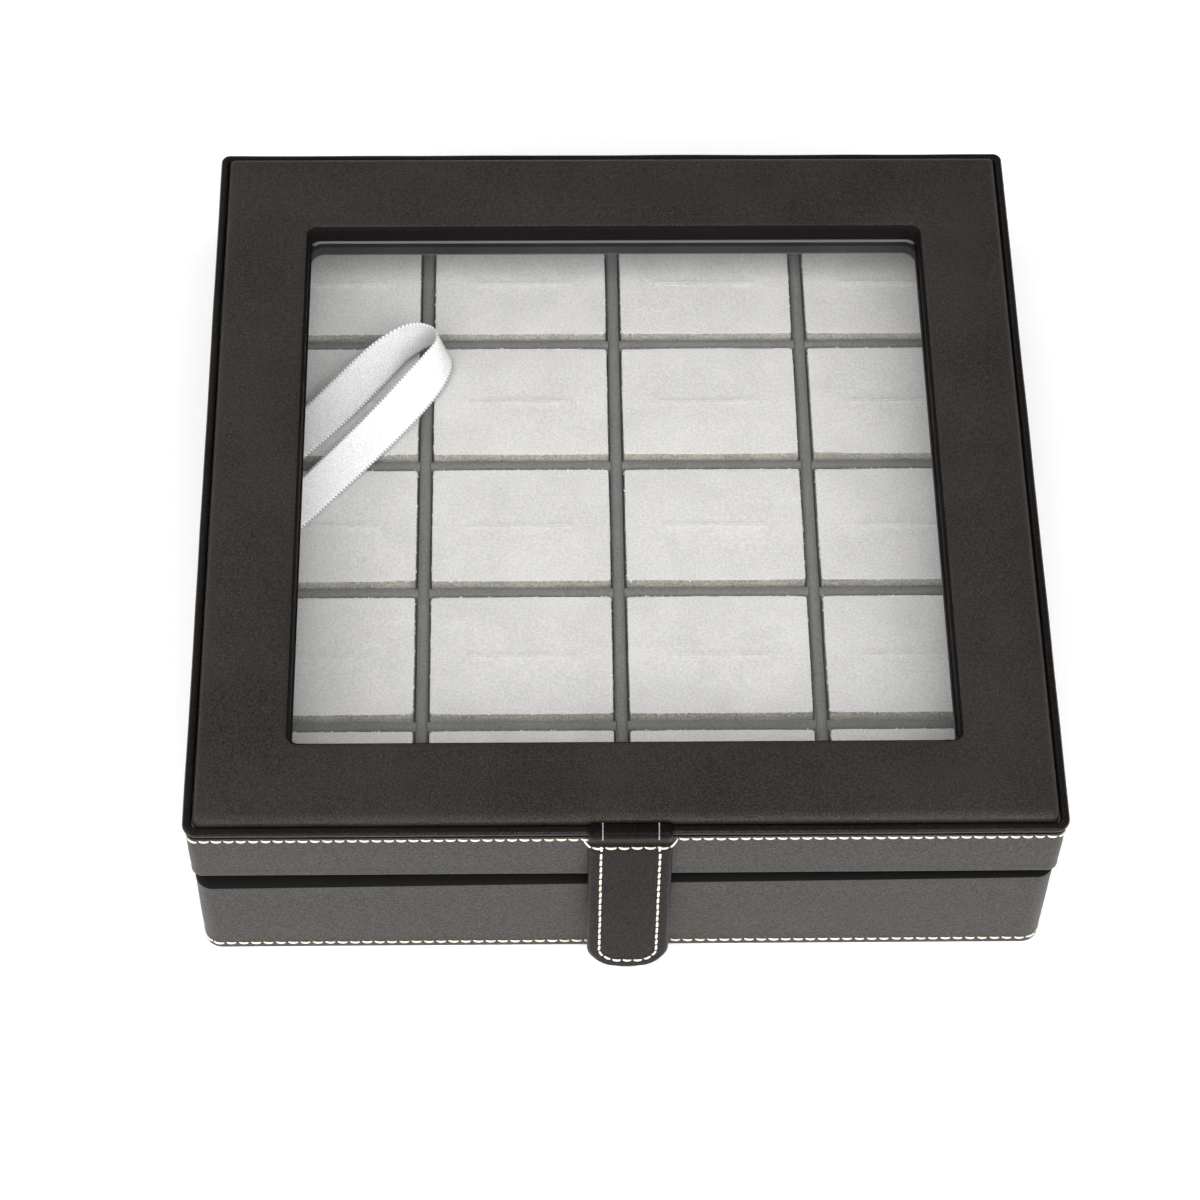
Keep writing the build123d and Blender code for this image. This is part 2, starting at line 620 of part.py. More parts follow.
def tray():
    parts = {
        "tray_floor": block(TRAY_WIDTH, TRAY_DEPTH, TRAY_BOTTOM, TRAY_FLOOR_TOP),
        "tray_walls": tray_walls(),
        "tray_dividers_long": long_dividers(),
        "tray_dividers_cross": cross_dividers(),
        "ribbon_pull": ribbon_pull(),
    }
    parts.update(pads())
    return parts


def base():
    parts = base_boards()
    parts["base_leather"] = base_leather()
    parts["base_lining"] = base_lining()
    parts["tray_ledges"] = tray_ledges()
    parts["underside_felt"] = underside_felt()
    parts["snap_stud"] = snap_stud()
    left, right = hinge_places()
    parts["hinge_base_leaf_left"] = hinge_leaf(left, on_lid=False)
    parts["hinge_base_leaf_right"] = hinge_leaf(right, on_lid=False)
    parts["hinge_base_screws"] = hinge_screws(on_lid=False)
    parts["hinge_pins"] = hinge_pins()
    return parts


def lid():
    parts = lid_boards()
    parts["lid_padding"] = lid_padding()
    parts["lid_top_leather"] = lid_top_leather()
    parts["lid_side_leather"] = lid_side_leather()
    parts["lid_piping"] = lid_piping()
    parts["window_glass"] = window_glass()
    parts["glass_retainer"] = glass_retainer()
    parts["lid_lining"] = lid_lining()
    left, right = hinge_places()
    parts["hinge_lid_leaf_left"] = hinge_leaf(left, on_lid=True)
    parts["hinge_lid_leaf_right"] = hinge_leaf(right, on_lid=True)
    parts["hinge_lid_screws"] = hinge_screws(on_lid=True)
    parts["clasp_anchor"] = clasp_anchor()
    return parts


os.makedirs("parts", exist_ok=True)
for group in (base(), lid(), clasp_tab(), tray()):
    for name, shape in group.items():
        export_step(shape, f"parts/{name}.step")

print(f"hinge axis y {HINGE_Y:.2f} z {HINGE_Z:.2f}")
print(f"clasp fold y {PIVOT_Y:.2f} z {PIVOT_Z:.2f}, pressed home at {TAB_HOME_ANGLE:.2f} degrees")
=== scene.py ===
import json
import math
import random

import bmesh
import bpy
from mathutils import Matrix, Vector, noise

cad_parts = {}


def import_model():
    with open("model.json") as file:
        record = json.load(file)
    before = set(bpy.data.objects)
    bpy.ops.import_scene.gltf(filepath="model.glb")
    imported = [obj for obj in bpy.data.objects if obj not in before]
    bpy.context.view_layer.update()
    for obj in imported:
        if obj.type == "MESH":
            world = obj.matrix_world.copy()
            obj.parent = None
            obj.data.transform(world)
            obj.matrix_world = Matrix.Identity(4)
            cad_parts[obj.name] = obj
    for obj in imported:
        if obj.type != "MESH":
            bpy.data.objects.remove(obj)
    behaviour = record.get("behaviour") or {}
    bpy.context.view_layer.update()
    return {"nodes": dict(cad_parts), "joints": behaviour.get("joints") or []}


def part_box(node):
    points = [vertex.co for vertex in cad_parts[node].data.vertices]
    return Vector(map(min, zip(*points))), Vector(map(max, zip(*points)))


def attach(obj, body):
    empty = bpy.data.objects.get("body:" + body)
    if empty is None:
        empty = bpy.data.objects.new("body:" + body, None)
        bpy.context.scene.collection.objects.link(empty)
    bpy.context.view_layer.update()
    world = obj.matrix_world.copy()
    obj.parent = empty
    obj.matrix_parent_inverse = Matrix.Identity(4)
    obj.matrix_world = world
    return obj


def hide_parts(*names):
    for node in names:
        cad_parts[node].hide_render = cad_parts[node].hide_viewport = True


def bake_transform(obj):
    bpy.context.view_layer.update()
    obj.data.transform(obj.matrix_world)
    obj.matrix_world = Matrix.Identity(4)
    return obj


# A glazed leather display box, dressed over its construction model. Metres, Z up, front -Y.
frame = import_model()

MM = 0.001

# ---- camera, from the box's corners in the photograph ----
CAMERA_PLACE = Vector((-24.7, -576.1, 868.2)) * MM
CAMERA_PITCH = math.radians(56.45)
CAMERA_YAW = math.radians(1.99)
CAMERA_ROLL = math.radians(1.36)
SENSOR = 36.0
FOCAL_PIXELS = 3419.0
PHOTO_WIDTH = 1200.0

# ---- leather ----
LEATHER = 1.0 * MM
WALL_HOLLOW = 0.12 * MM     # how far a wall draws in beside its rims
BASE_CORNER = 5.0 * MM
LID_CORNER = 3.0 * MM
BACK_CORNER = 1.3 * MM      # the piping turns more sharply at the back
RIM_DEPTH = 4.0 * MM        # height over which the base's rim rolls inward
RIM_TAPER = 0.0155          # the rim is this much deeper for each length towards the left
RIM_BEAD = ((2.7, 0.0), (3.0, 0.6), (3.5, 0.95), (4.1, 0.7), (4.5, 0.1))     # inward and up, in mm
RIM_TURN_IN = 4.5 * MM      # reach of the base's leather over its rim
DARK_EDGE_ROWS = 4          # rows of a wall's lower edge that lie in shade
PIPING_SHADE = 1.3 * MM     # dark strip of the lid's wall right under the piping
FRAME_WIDTH = 25.0 * MM     # of the padded frame, from the piping to the window
FRAME_OUTER_ROLL = 2.6 * MM
FRAME_WINDOW_ROLL = 1.9 * MM
SIDE_STEPS = 72             # ring points along each straight side
CORNER_STEPS = 8            # and round each corner

# ---- stitches ----
THREAD = 0.72 * MM
LID_STITCH_PITCH = 3.33 * MM
BASE_STITCH_PITCH = 3.5 * MM
TAB_STITCH_PITCH = 3.0 * MM
STITCH_SHARE = 0.89         # of the pitch that shows as thread
LID_SEAM_DROP = 2.5 * MM    # below the piping
ANCHOR_SEAM_DIP = 1.2 * MM
BASE_SEAM_RISE = 2.9 * MM   # above the lower edge
TAB_SEAM_INSET = 3.4 * MM
FINE_THREAD = 0.36 * MM     # of the two threads over the strap's fold

# ---- strap: half thicknesses, and the rounding of its tip ----
STRAP_THIN = 0.55 * MM      # over the piping
STRAP_THICK = 1.0 * MM
STRAP_CORNER = 9.5 * MM
STRAP_SHADE_LENGTH = 8 * MM  # of the strap's painted shade over the piping, from the sewn end

# ---- pads ----
COLUMNS, ROWS = 4, 5
SLIT_HALF = 15.0 * MM
SLIT_GAP = 0.02 * MM
SLIT_DEPTH = 9.0 * MM
SLIT_MOUTH = 0.9 * MM       # depth at which the slit starts to open
PAD_SPLAY = 0.15 * MM       # the velvet face is this much smaller than the foam, at the back and sides
PAD_FRONT_SPLAY = 1.1 * MM  # and this much at the front
PAD_FACE_STEPS = (0.006, 0.02, 0.05, 0.12, 0.25, 0.40, 0.55, 0.70, 0.84, 0.93, 0.97, 0.99)
PAD_EDGE_STEPS = ((1.0, 0.45), (0.9, 0.6), (0.12, 1.5), (0.05, 5.0), (0.0, 14.9))    # splay left, mm down
FIBRES_PER_PAD = 130

# ---- ribbon: middle, rise of the upper edge over the lower one, plan direction across ----
RIBBON_WIDTH = 12.0
RIBBON_THICKNESS = 0.25 * MM
RIBBON_STATIONS = [
    ((-112.15, 13.0, 31.0), 0.0, 90.0),
    ((-112.15, 13.0, 35.0), 0.0, 90.0),
    ((-112.1, 13.0, 38.6), 0.1, 91.0),
    ((-110.6, 14.2, 41.4), 0.5, 95.0),
    ((-106.0, 18.2, 42.5), 1.5, 110.0),
    ((-95.5, 29.6, 41.9), 2.5, 131.0),
    ((-83.5, 42.6, 42.9), 4.7, 137.0),
    ((-70.3, 57.0, 44.9), 8.4, 131.0),
    ((-62.3, 63.2, 46.2), 11.0, 95.0),
    ((-54.9, 64.9, 46.7), 11.8, 235.0),
    ((-51.6, 60.2, 46.3), 11.2, 185.0),
    ((-54.0, 54.2, 45.2), 9.4, 160.0),
    ((-59.8, 46.4, 43.7), 6.8, 147.0),
    ((-69.5, 34.6, 42.1), 4.0, 141.0),
    ((-85.5, 15.8, 41.4), 2.2, 136.0),
    ((-98.5, 0.6, 41.6), 1.6, 126.0),
    ((-106.5, -9.0, 42.4), 1.0, 110.0),
    ((-110.6, -11.8, 41.4), 0.5, 95.0),
    ((-112.1, -13.0, 38.6), 0.1, 91.0),
    ((-112.15, -13.0, 35.0), 0.0, 90.0),
    ((-112.15, -13.0, 31.0), 0.0, 90.0),
]

# ---- glow of the world and of the white table ----
WORLD_GLOW = 0.22
TABLE_GLOW = 0.25           # as the camera sees it
TABLE_GLOW_MIRRORED = 0.27  # as glossy surfaces mirror it


# ---- materials ----
def new_material(name, colour, roughness, specular=0.5, sheen=0.0, metallic=0.0):
    """A Principled material whose plain values sit on the shader's own sockets."""
    material = bpy.data.materials.new(name)
    material.use_nodes = True
    shader = material.node_tree.nodes["Principled BSDF"]
    shader.inputs["Base Color"].default_value = (*colour, 1.0)
    shader.inputs["Roughness"].default_value = roughness
    shader.inputs["Specular IOR Level"].default_value = specular
    shader.inputs["Metallic"].default_value = metallic
    shader.inputs["Sheen Weight"].default_value = sheen
    shader.inputs["Sheen Roughness"].default_value = 0.4
    return material, material.node_tree, shader


def add_node(tree, kind, **settings):
    """A node whose settings are its properties, or its inputs where it has one of that name."""
    node = tree.nodes.new(kind)
    for key, value in settings.items():
        if key in node.inputs:
            node.inputs[key].default_value = value
        else:
            setattr(node, key, value)
    return node


def coordinates(tree, stretch=(1, 1, 1)):
    """The object's own coordinates, stretched along each axis."""
    place = add_node(tree, "ShaderNodeTexCoord")
    mapping = add_node(tree, "ShaderNodeMapping", Scale=stretch)
    tree.links.new(place.outputs["Object"], mapping.inputs["Vector"])
    return mapping.outputs["Vector"]


def ramp(tree, source, stops):
    """A colour ramp from stops of a position and a colour, or one grey value."""
    node = add_node(tree, "ShaderNodeValToRGB")
    elements = node.color_ramp.elements
    while len(elements) < len(stops):
        elements.new(0.5)
    for element, (position, colour) in zip(elements, stops):
        element.position = position
        element.color = (*(colour if isinstance(colour, tuple) else (colour,) * 3), 1.0)
    tree.links.new(source, node.inputs["Fac"])
    return node.outputs["Color"]


def texture(tree, vector, kind, scale, output, **settings):
    """One output of a texture node laid on a vector."""
    node = add_node(tree, kind, Scale=scale, **settings)
    tree.links.new(vector, node.inputs["Vector"])
    return node.outputs[output]


def maths(tree, operation, *values):
    """The result of a math node on outputs and plain numbers."""
    node = add_node(tree, "ShaderNodeMath", operation=operation)
    for value, socket in zip(values, node.inputs):
        if isinstance(value, float):
            socket.default_value = value
        else:
            tree.links.new(value, socket)
    return node.outputs[0]


def bump(tree, shader, layers):
    """Stack (height, distance, strength) layers of bump into the shader's normal."""
    normal = None
    for height, distance, strength in layers:
        node = add_node(tree, "ShaderNodeBump", Distance=distance, Strength=strength)
        tree.links.new(height, node.inputs["Height"])
        if normal:
            tree.links.new(normal, node.inputs["Normal"])
        normal = node.outputs["Normal"]
    tree.links.new(normal, shader.inputs["Normal"])


def mix_colour(tree, factor, first, second):
    """Mix two colours, each a plain one or an output."""
    node = add_node(tree, "ShaderNodeMix", data_type="RGBA")
    for source, name in ((factor, "Factor"), (first, "A"), (second, "B")):
        socket = [s for s in node.inputs if s.name == name and (name == "Factor" or s.type == "RGBA")][0]
        if isinstance(source, tuple):
            socket.default_value = (*source, 1.0)
        else:
            tree.links.new(source, socket)
    return [s for s in node.outputs if s.type == "RGBA"][0]


def leather_material(name, colour, roughness, grain=1.0, specks=True, shine=0.39):
    """Smooth black leather: fine pebble grain, faint creases, and a few specks of dust."""
    material, tree, shader = new_material(name, colour, roughness, specular=shine)
    shader.inputs["Specular Tint"].default_value = (1.0, 0.97, 0.90, 1.0)
    vector = coordinates(tree)
    pebbles = texture(tree, vector, "ShaderNodeTexVoronoi", 1700.0, "Distance", feature="SMOOTH_F1")
    pores = texture(tree, vector, "ShaderNodeTexNoise", 2600.0, "Fac", Detail=3.0)
    sag = texture(tree, vector, "ShaderNodeTexNoise", 60.0, "Fac", Detail=2.0)
    bump(tree, shader, [(sag, 0.0006, 0.08 * grain), (pebbles, 0.00016, 0.40 * grain),
                        (pores, 0.00014, 0.50 * grain)])
    patches = texture(tree, vector, "ShaderNodeTexNoise", 35.0, "Fac", Detail=4.0)
    dark = tuple(0.75 * c for c in colour)
    light = tuple(1.25 * c for c in colour)
    surface = ramp(tree, patches, [(0.35, dark), (0.65, light)])
    finish = texture(tree, vector, "ShaderNodeTexNoise", 2300.0, "Fac", Detail=2.0)
    mottle = ramp(tree, finish, [(0.38, 0.0), (0.70, 0.6)])
    surface = mix_colour(tree, mottle, surface, tuple(2.6 * c for c in colour))
    gloss = ramp(tree, finish, [(0.36, 0.55 * shine), (0.66, 1.40 * shine)])
    tree.links.new(gloss, shader.inputs["Specular IOR Level"])
    if specks:
        dust = texture(tree, vector, "ShaderNodeTexVoronoi", 260.0, "Distance", Randomness=1.0)
        sizes = texture(tree, vector, "ShaderNodeTexNoise", 170.0, "Fac", Detail=0.0)
        spot = ramp(tree, dust, [(0.020, 1.0), (0.045, 0.0)])
        here = ramp(tree, sizes, [(0.60, 0.0), (0.64, 1.0)])
        surface = mix_colour(tree, maths(tree, "MULTIPLY", spot, here), surface, (0.20, 0.19, 0.18))
    tree.links.new(surface, shader.inputs["Base Color"])
    wear = ramp(tree, patches, [(0.3, roughness - 0.04), (0.7, roughness + 0.05)])
    tree.links.new(wear, shader.inputs["Roughness"])
    return material


def velvet_material(name, colour, sheen, nap=0.10, roughness=0.95):
    """Short pile: brushed patches lighter and darker, with a fine fibre grain."""
    material, tree, shader = new_material(name, colour, roughness, specular=0.15, sheen=sheen)
    vector = coordinates(tree)
    brushed = texture(tree, vector, "ShaderNodeTexNoise", 70.0, "Fac", Detail=5.0, Roughness=0.65)
    fibres = texture(tree, vector, "ShaderNodeTexNoise", 1500.0, "Fac", Detail=2.0)
    mixed = maths(tree, "MULTIPLY_ADD", fibres, 0.65, maths(tree, "MULTIPLY", brushed, 0.35))
    dark = tuple((1 - 1.6 * nap) * c for c in colour)
    light = tuple(min(1.0, (1 + nap) * c) for c in colour)
    surface = ramp(tree, mixed, [(0.36, dark), (0.62, light)])
    tree.links.new(surface, shader.inputs["Base Color"])
    bump(tree, shader, [(fibres, 0.00025, 0.5)])
    return material


def satin_material():
    """White single-face satin: its dull back, its bright face past the loop, and a woven edge. The face's
    brightness is partly painted highlight on the near leg, and the fine glitter is painted glints.
    """
    material, tree, shader = new_material("satin_ribbon", (0.65, 0.65, 0.66), 0.34, sheen=0.15)
    shader.inputs["Anisotropic"].default_value = 0.55
    uv = add_node(tree, "ShaderNodeUVMap", uv_map="ribbon")
    weft = texture(tree, uv.outputs["UV"], "ShaderNodeTexWave", 620.0, "Fac", bands_direction="X",
                   Distortion=0.6)
    split = add_node(tree, "ShaderNodeSeparateXYZ")
    tree.links.new(uv.outputs["UV"], split.inputs[0])
    middle = maths(tree, "COMPARE", split.outputs["Y"], 0.5, 0.455)
    # Painted glints: fine noise in the cloth's colour.
    glitter = texture(tree, coordinates(tree), "ShaderNodeTexNoise", 1900.0, "Fac", Detail=2.0)
    dull = ramp(tree, glitter, [(0.38, 0.55), (0.60, 0.68)])
    bright = ramp(tree, glitter, [(0.38, 0.80), (0.60, 0.95)])
    # Past the loop the face is brighter: its own lighter colour and a painted highlight on the near leg.
    face_and_highlight = add_node(tree, "ShaderNodeMapRange", **{"From Min": 0.080, "From Max": 0.105})
    tree.links.new(split.outputs["X"], face_and_highlight.inputs["Value"])
    cloth = mix_colour(tree, face_and_highlight.outputs["Result"], dull, bright)
    loops = texture(tree, uv.outputs["UV"], "ShaderNodeTexWave", 280.0, "Fac", bands_direction="X")
    picot = ramp(tree, loops, [(0.35, 0.36), (0.6, 0.85)])
    surface = mix_colour(tree, middle, picot, cloth)
    tree.links.new(surface, shader.inputs["Base Color"])
    bump(tree, shader, [(weft, 0.00006, 0.5), (loops, 0.00010, 0.4), (middle, 0.00008, 0.5)])
    return material


def thread_material():
    """Ivory sewing thread with its twist."""
    material, tree, shader = new_material("ivory_thread", (0.80, 0.76, 0.64), 0.55, sheen=0.3)
    vector = coordinates(tree)
    twist = texture(tree, vector, "ShaderNodeTexWave", 900.0, "Fac", bands_direction="DIAGONAL")
    tone = texture(tree, vector, "ShaderNodeTexNoise", 400.0, "Fac", Detail=1.0)
    surface = ramp(tree, tone, [(0.3, (0.76, 0.71, 0.57)), (0.7, (0.92, 0.88, 0.75))])
    tree.links.new(surface, shader.inputs["Base Color"])
    bump(tree, shader, [(twist, 0.00010, 0.5)])
    return material


def metal_material(name, colour, roughness):
    """Plated metal with fine brushing and faint smears."""
    material, tree, shader = new_material(name, colour, roughness, metallic=1.0)
    vector = coordinates(tree, (1, 14, 14))
    brushing = texture(tree, vector, "ShaderNodeTexNoise", 900.0, "Fac", Detail=3.0)
    smears = texture(tree, coordinates(tree), "ShaderNodeTexNoise", 260.0, "Fac", Detail=3.0)
    matt = ramp(tree, smears, [(0.3, roughness - 0.06), (0.7, roughness + 0.1)])
    tree.links.new(matt, shader.inputs["Roughness"])
    bump(tree, shader, [(brushing, 0.00004, 0.35)])
    return material


def glass_material():
    """A clear pane that lets the light through, with a little haze of dust."""
    material, tree, shader = new_material("window_pane", (0.75, 0.78, 0.78), 0.04)
    dust = texture(tree, coordinates(tree), "ShaderNodeTexNoise", 50.0, "Fac", Detail=5.0)
    haze = ramp(tree, dust, [(0.3, 0.014), (0.7, 0.026)])
    tree.links.new(haze, shader.inputs["Alpha"])
    return material


def board_material():
    """Bare fibreboard, as it shows inside a cut edge."""
    material, tree, shader = new_material("fibreboard", (0.42, 0.31, 0.20), 0.85, specular=0.2)
    vector = coordinates(tree, (1, 1, 3))
    fibres = texture(tree, vector, "ShaderNodeTexNoise", 1200.0, "Fac", Detail=4.0)
    surface = ramp(tree, fibres, [(0.3, (0.33, 0.24, 0.15)), (0.7, (0.50, 0.38, 0.26))])
    tree.links.new(surface, shader.inputs["Base Color"])
    bump(tree, shader, [(fibres, 0.0001, 0.4)])
    return material


LEATHER_TOP = leather_material("black_leather", (0.0175, 0.0148, 0.0130), 0.46)
LEATHER_SHADE = new_material("shaded_leather", (0.003, 0.003, 0.003), 0.7, specular=0.06)[0]
# Painted highlight: a grey leather for the window's far lip, where it catches the light.
LIP_HIGHLIGHT_LEATHER = new_material("painted_lip_highlight", (0.12, 0.115, 0.12), 0.35)[0]
LEATHER_PIPING = leather_material("piping_leather", (0.005, 0.004, 0.004), 0.25, grain=0.5, specks=False,
                                  shine=0.22)
LEATHER_STRAP = leather_material("strap_leather", (0.0085, 0.0060, 0.0058), 0.36, grain=0.4, specks=False,
                                 shine=0.12)
# Painted shade: a darker copy of the strap's leather where it bends over the piping.
STRAP_FOLD_SHADE = leather_material("strap_fold_painted_shade", (0.003, 0.0025, 0.0025), 0.30, grain=0.3, specks=False,
                              shine=0.08)
# Painted shade: a darker, duller copy of the leather for the window's roll and wall.
WINDOW_ROLL_SHADE = new_material("window_roll_painted_shade", (0.006, 0.005, 0.005), 0.7, specular=0.12)[0]
PAD_VELVET = velvet_material("pad_velvet", (0.60, 0.59, 0.575), 0.25, nap=0.09)
PAD_EDGE = velvet_material("pad_edge", (0.30, 0.29, 0.25), 0.1, nap=0.25)
LINT = new_material("white_lint", (0.95, 0.95, 0.93), 0.9, sheen=0.3)[0]
DIVIDER_VELVET = velvet_material("divider_velvet", (0.145, 0.142, 0.134), 0.3, nap=0.14)
LINING_VELVET = velvet_material("lining_velvet", (0.085, 0.087, 0.09), 0.3, nap=0.12)
RETAINER_PAPER = velvet_material("retainer_paper", (0.011, 0.010, 0.011), 0.0, nap=0.1, roughness=0.7)
FELT = velvet_material("black_felt", (0.02, 0.02, 0.02), 0.2, nap=0.3)
FOAM = velvet_material("padding_foam", (0.70, 0.66, 0.55), 0.1, nap=0.2)
SATIN = satin_material()
THREAD_MATERIAL = thread_material()
THREAD_PALE = new_material("grey_thread", (0.42, 0.41, 0.43), 0.6)[0]
STEEL = metal_material("nickel_plate", (0.62, 0.60, 0.57), 0.28)
GLASS = glass_material()
BOARD = board_material()
HOLE = new_material("needle_hole", (0.004, 0.004, 0.004), 0.9)[0]


# ---- mesh helpers ----
def in_scene(name, data):
    """A new object that is linked into the scene."""
    piece = bpy.data.objects.new(name, data)
    bpy.context.scene.collection.objects.link(piece)
    return piece


def add_object(name, mesh, material, body, replaced=()):
    """A smooth piece that rides a body and stands for the construction nodes it replaces."""
    piece = in_scene(name, mesh)
    mesh.materials.append(material)
    for face in mesh.polygons:
        face.use_smooth = True
    if body:
        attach(piece, body)
    if replaced:
        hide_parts(*replaced)
    return piece


def mesh_from(name, points, faces):
    """A mesh whose faces all look outward."""
    mesh = bpy.data.meshes.new(name)
    mesh.from_pydata([tuple(p) for p in points], [], faces)
    work = bmesh.new()
    work.from_mesh(mesh)
    bmesh.ops.recalc_face_normals(work, faces=work.faces)
    work.to_mesh(mesh)
    work.free()
    return mesh


def ring(half_x, half_y, radius, z, centre=(0.0, 0.0), sides=SIDE_STEPS, corners=CORNER_STEPS):
    """Points round a rounded rectangle. Rings of the same steps join point to point.

    The radius is one length, or a pair for the back and the front corners.
    """
    back, front = radius if isinstance(radius, tuple) else (radius, radius)
    arcs = []
    for number, (sx, sy) in enumerate(((1, 1), (-1, 1), (-1, -1), (1, -1))):
        rounding = max(0.05 * MM, min(back if sy > 0 else front, half_x, half_y))
        middle = Vector((centre[0] + sx * (half_x - rounding), centre[1] + sy * (half_y - rounding), z))
        turns = [math.radians(90 * (number + step / corners)) for step in range(corners + 1)]
        arcs.append([middle + Vector((math.cos(turn), math.sin(turn), 0)) * rounding for turn in turns])
    points = []
    for number, corner in enumerate(arcs):
        points += corner
        end = arcs[(number + 1) % 4][0]
        points += [corner[-1].lerp(end, step / sides) for step in range(1, sides)]
    return points


def skin_faces(ring_count, size, closed):
    """Quads between rings, from the last back to the first where the section is closed."""
    faces = []
    for row in range(ring_count if closed else ring_count - 1):
        upper = (row + 1) % ring_count
        for number in range(size):
            after = (number + 1) % size
            faces.append((row * size + number, row * size + after,
                          upper * size + after, upper * size + number))
    return faces


def skin(name, rings, closed=True, caps=False):
    """A mesh over a stack of rings, with its first and last ones filled where it has caps."""
    size = len(rings[0])
    points = [point for each in rings for point in each]
    faces = skin_faces(len(rings), size, closed)
    if caps:
        faces.append(tuple(range(size)))
        faces.append(tuple(range((len(rings) - 1) * size, len(rings) * size)))
    return mesh_from(name, points, faces)


def arc(centre, radius, start, end, steps):
    """Points (out, z) of an arc in a section, angles from outward towards up, in degrees."""
    result = []
    for step in range(steps + 1):
        angle = math.radians(start + (end - start) * step / steps)
        result.append((centre[0] + radius * math.cos(angle), centre[1] + radius * math.sin(angle)))
    return result


def ripple(points, scale, height, seed=0.0):
    """Push points along a smooth noise, for leather that isn't perfectly flat."""
    for point in points:
        push = noise.noise_vector(point * scale + Vector((seed, seed, seed)))
        point += push * height


# ---- leather shell ----
def wall_skin(name, node, body, corner, top_round, bottom_round, turn_in, over_rim):
    """The leather round a wall, drawn in slightly beside its rims.

    Over the rim it rolls inward and ends in a bead. Else it stands straight under the piping.
    """
    low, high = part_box(node)
    half = high[0]
    inner = half - LEATHER
    shoulder = RIM_DEPTH if over_rim else top_round
    outer = arc((half - bottom_round, low[2] + bottom_round), bottom_round, -90, 0, 6)
    levels = 10
    for step in range(1, levels):
        z = low[2] + bottom_round + (high[2] - shoulder - low[2] - bottom_round) * step / levels
        bulge = WALL_HOLLOW * math.sin(math.pi * step / levels)
        outer.append((half + bulge - WALL_HOLLOW, z))
    rim = len(outer)
    if over_rim:
        outer += [(half + top_round * (out - 1), high[2] + RIM_DEPTH * (up - 1))
                  for out, up in arc((0, 0), 1.0, 0, 90, 9)]
        bead = [(half - inset * MM, high[2] + rise * MM) for inset, rise in RIM_BEAD]
        top = [(half - RIM_TURN_IN, high[2] - LEATHER), (inner - 0.5 * MM, high[2] - LEATHER),
               (inner, high[2] - 2 * LEATHER)]
    else:
        outer += [(half, high[2] - PIPING_SHADE), (half, high[2])]
        bead = []
        top = [(inner, high[2])]
    behind = [(inner, low[2] + 1.5 * LEATHER), (inner - 0.5 * MM, low[2] + LEATHER),
              (half - turn_in, low[2] + LEATHER), (half - turn_in, low[2])]
    dark_end = len(outer) + len(bead)
    rings = [ring(out, out, max(corner - (half - out), 0.6 * MM), z)
             for out, z in outer + bead + top + behind]
    for each in rings[:len(outer)]:
        ripple(each, 14.0, 0.10 * MM, seed=half * 1000)
    if over_rim:
        for each in rings[rim:len(outer) - 1]:
            for point in each:
                share = (high[2] - point.z) / RIM_DEPTH
                point.z += share * RIM_TAPER * point.x
        flatten_at_hinges(rings[len(outer):dark_end], high[2])
    mesh = skin(name, rings)
    add_object(name, mesh, LEATHER_TOP, body, (node,))
    mesh.materials.append(LEATHER_SHADE)
    # Painted shade: the lower edge rows, the strip under the piping and the base's rim with its bead, in
    # the recess under the lid, take the black shaded leather.
    for face in mesh.polygons:
        row = min(face.vertices) // len(rings[0])
        if row < DARK_EDGE_ROWS or rim <= row <= dark_end:
            face.material_index = 1


def flatten_at_hinges(rings, top):
    """Press the rim's bead flat where the hinge leaves lie on it."""
    for side in ("left", "right"):
        low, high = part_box(f"hinge_base_leaf_{side}")
        for points in rings:
            for point in points:
                if point.y > low[1] - MM and low[0] - MM < point.x < high[0] + MM:
                    point.z = min(point.z, top)


